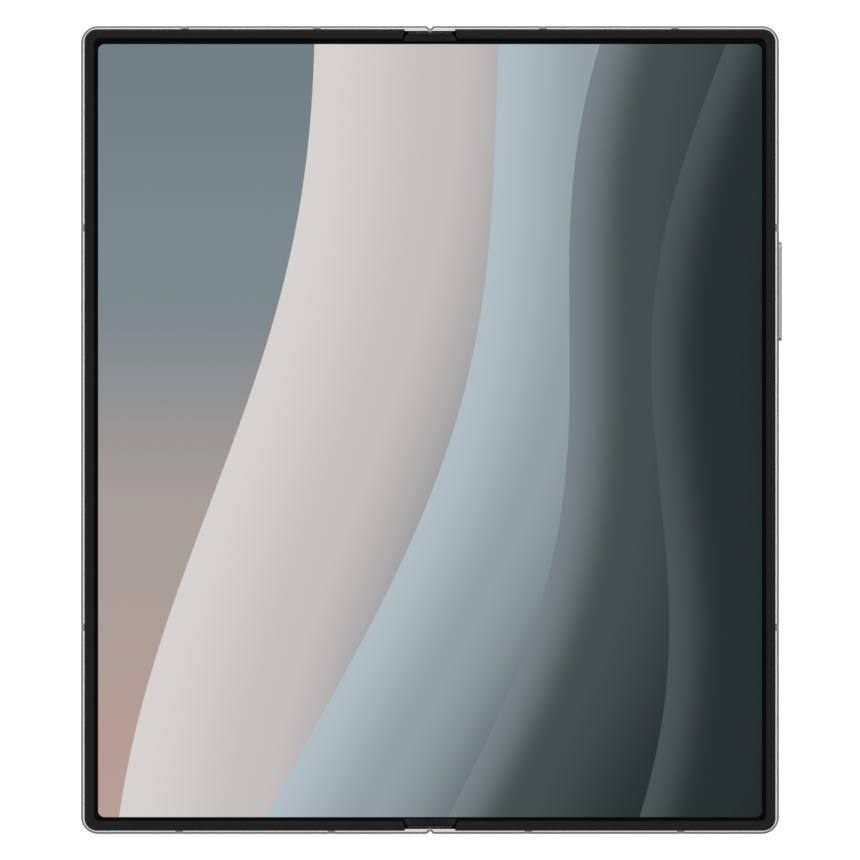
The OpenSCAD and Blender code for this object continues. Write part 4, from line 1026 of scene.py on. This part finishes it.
ridge_finish = moulded("hood_ridges", shade(34), 0.4)
ridges = ridge_recipe(ridge_finish)
hoods = []
for i, opening in enumerate(LENS_OPENINGS):
    hood = ridges.mesh(narrow=opening + HOOD_MARGIN)
    hood.transform(Matrix.Translation((0.0, (i - 1) * LENS_PITCH, 0.0)))
    hoods.append(hood)
hood_place = Vector((LENS_ROW.x, LENS_ROW.y, HOOD_LEVEL))
settle("hood_ridges", joined(hoods), ridge_finish, hood_place, "right_half")

# %% [markdown]
# ## Table
# The table is plain white and reaches to the horizon. A stronger light would turn it white as well,
# but would bleach the phone with it. So the table glows a little, as a light table does, and only a
# faint shadow is left round the phone.

# %% Table
TABLE_SPAN = 60.0
TABLE_DRIFT = 0.3
TABLE_GLOW = 0.7
TABLE_WHITE = darker(WHITE, 0.62)
reach = TABLE_SPAN / 2
corners = [(-reach, -reach, 0), (reach, -reach, 0), (reach, reach, 0), (-reach, reach, 0)]
table_mesh = bpy.data.meshes.new("table")
table_mesh.from_pydata(corners, [], [(0, 1, 2, 3)])
table_finish = Finish("white_table", TABLE_WHITE, 0.7, specular=0.1, edge=0.0)
table_finish.mottle(TABLE_DRIFT, TABLE_WHITE, darker(TABLE_WHITE, 0.99))
table_finish.set("Emission Color", WHITE)
table_finish.set("Emission Strength", TABLE_GLOW)
table = add_piece("table", table_mesh, table_finish.material)
print("table", TABLE_SPAN, "m wide")

# %% [markdown]
# ## Studio light
# The sky is a studio: a pale ceiling that darkens towards the horizon and is brighter behind the
# phone's top edge, and four softboxes whose reflections shape the glass and the metal. Area lamps
# would do too, but they stand at a distance and light each view in another way, while a sky stays
# the same for all. A small dark patch straight above, where the camera hangs, keeps the glossy screen
# from mirroring the ceiling.

# %% Sky helpers
world = bpy.data.worlds.new("studio")
scene.world = world
world.use_nodes = True
sky = Nodes(world.node_tree)
toward = sky.node("ShaderNodeTexCoord").outputs["Generated"]
toward_x, toward_y, toward_z = sky.node("ShaderNodeSeparateXYZ", {0: toward}).outputs


def facing(direction):
    """1 where the sky lies in the direction given, down to -1 behind."""
    inputs = {0: toward, 1: tuple(direction)}
    return sky.node("ShaderNodeVectorMath", inputs, operation="DOT_PRODUCT").outputs["Value"]


def softbox(azimuth, elevation, half_width, half_height, strength, soft=0.06):
    """A rectangle of light. The azimuth is counted from +Y towards +X, and all angles are degrees."""
    turn, lift = math.radians(azimuth), math.radians(elevation)
    level = math.cos(lift)
    forward = Vector((math.sin(turn) * level, math.cos(turn) * level, math.sin(lift)))
    right = forward.cross(Vector((0.0, 0.0, 1.0))).normalized()
    ahead = sky.math("MAXIMUM", facing(forward), 0.001)
    inside = sky.step(facing(forward), 0.0, 0.1)
    for axis, half_angle in ((right, half_width), (right.cross(forward), half_height)):
        limit = math.tan(math.radians(half_angle))
        inside = sky.both(inside, sky.within(sky.math("DIVIDE", facing(axis), ahead), limit, soft))
    return sky.math("MULTIPLY", inside, strength)


# %% Studio light
HORIZON = 0.28
ZENITH = 0.95
CEILING_FROM = 0.9
TOWARD_TOP, TOWARD_RIGHT = 0.5, -0.12
PATCH_FROM = math.radians(6.5)
PATCH_FULL = math.radians(3.0)
PATCH_LIGHT = 0.05
ceiling = sky.step(toward_z, 0.0, CEILING_FROM, HORIZON, ZENITH)
tilt = sky.math("MULTIPLY_ADD", toward_x, TOWARD_RIGHT, 1.0)
tilt = sky.math("MULTIPLY_ADD", toward_y, TOWARD_TOP, tilt)
patch = sky.step(toward_z, math.cos(PATCH_FROM), math.cos(PATCH_FULL), 1.0, PATCH_LIGHT)
# Azimuth, elevation, half width, half height, strength and, where it differs, the softness
boxes = [
    softbox(-12, 34, 34, 13, 0.5),
    softbox(0, 15, 40, 7, 1.6, 0.05),
    softbox(-118, 30, 10, 24, 0.6),
    softbox(112, 26, 7, 26, 0.5),
]
light = sky.both(ceiling, tilt)
for box in boxes:
    light = sky.math("ADD", light, box)
background = world.node_tree.nodes["Background"]
background.inputs["Color"].default_value = WHITE
sky.put(background.inputs["Strength"], sky.math("MULTIPLY", light, patch))
print("softboxes", len(boxes))
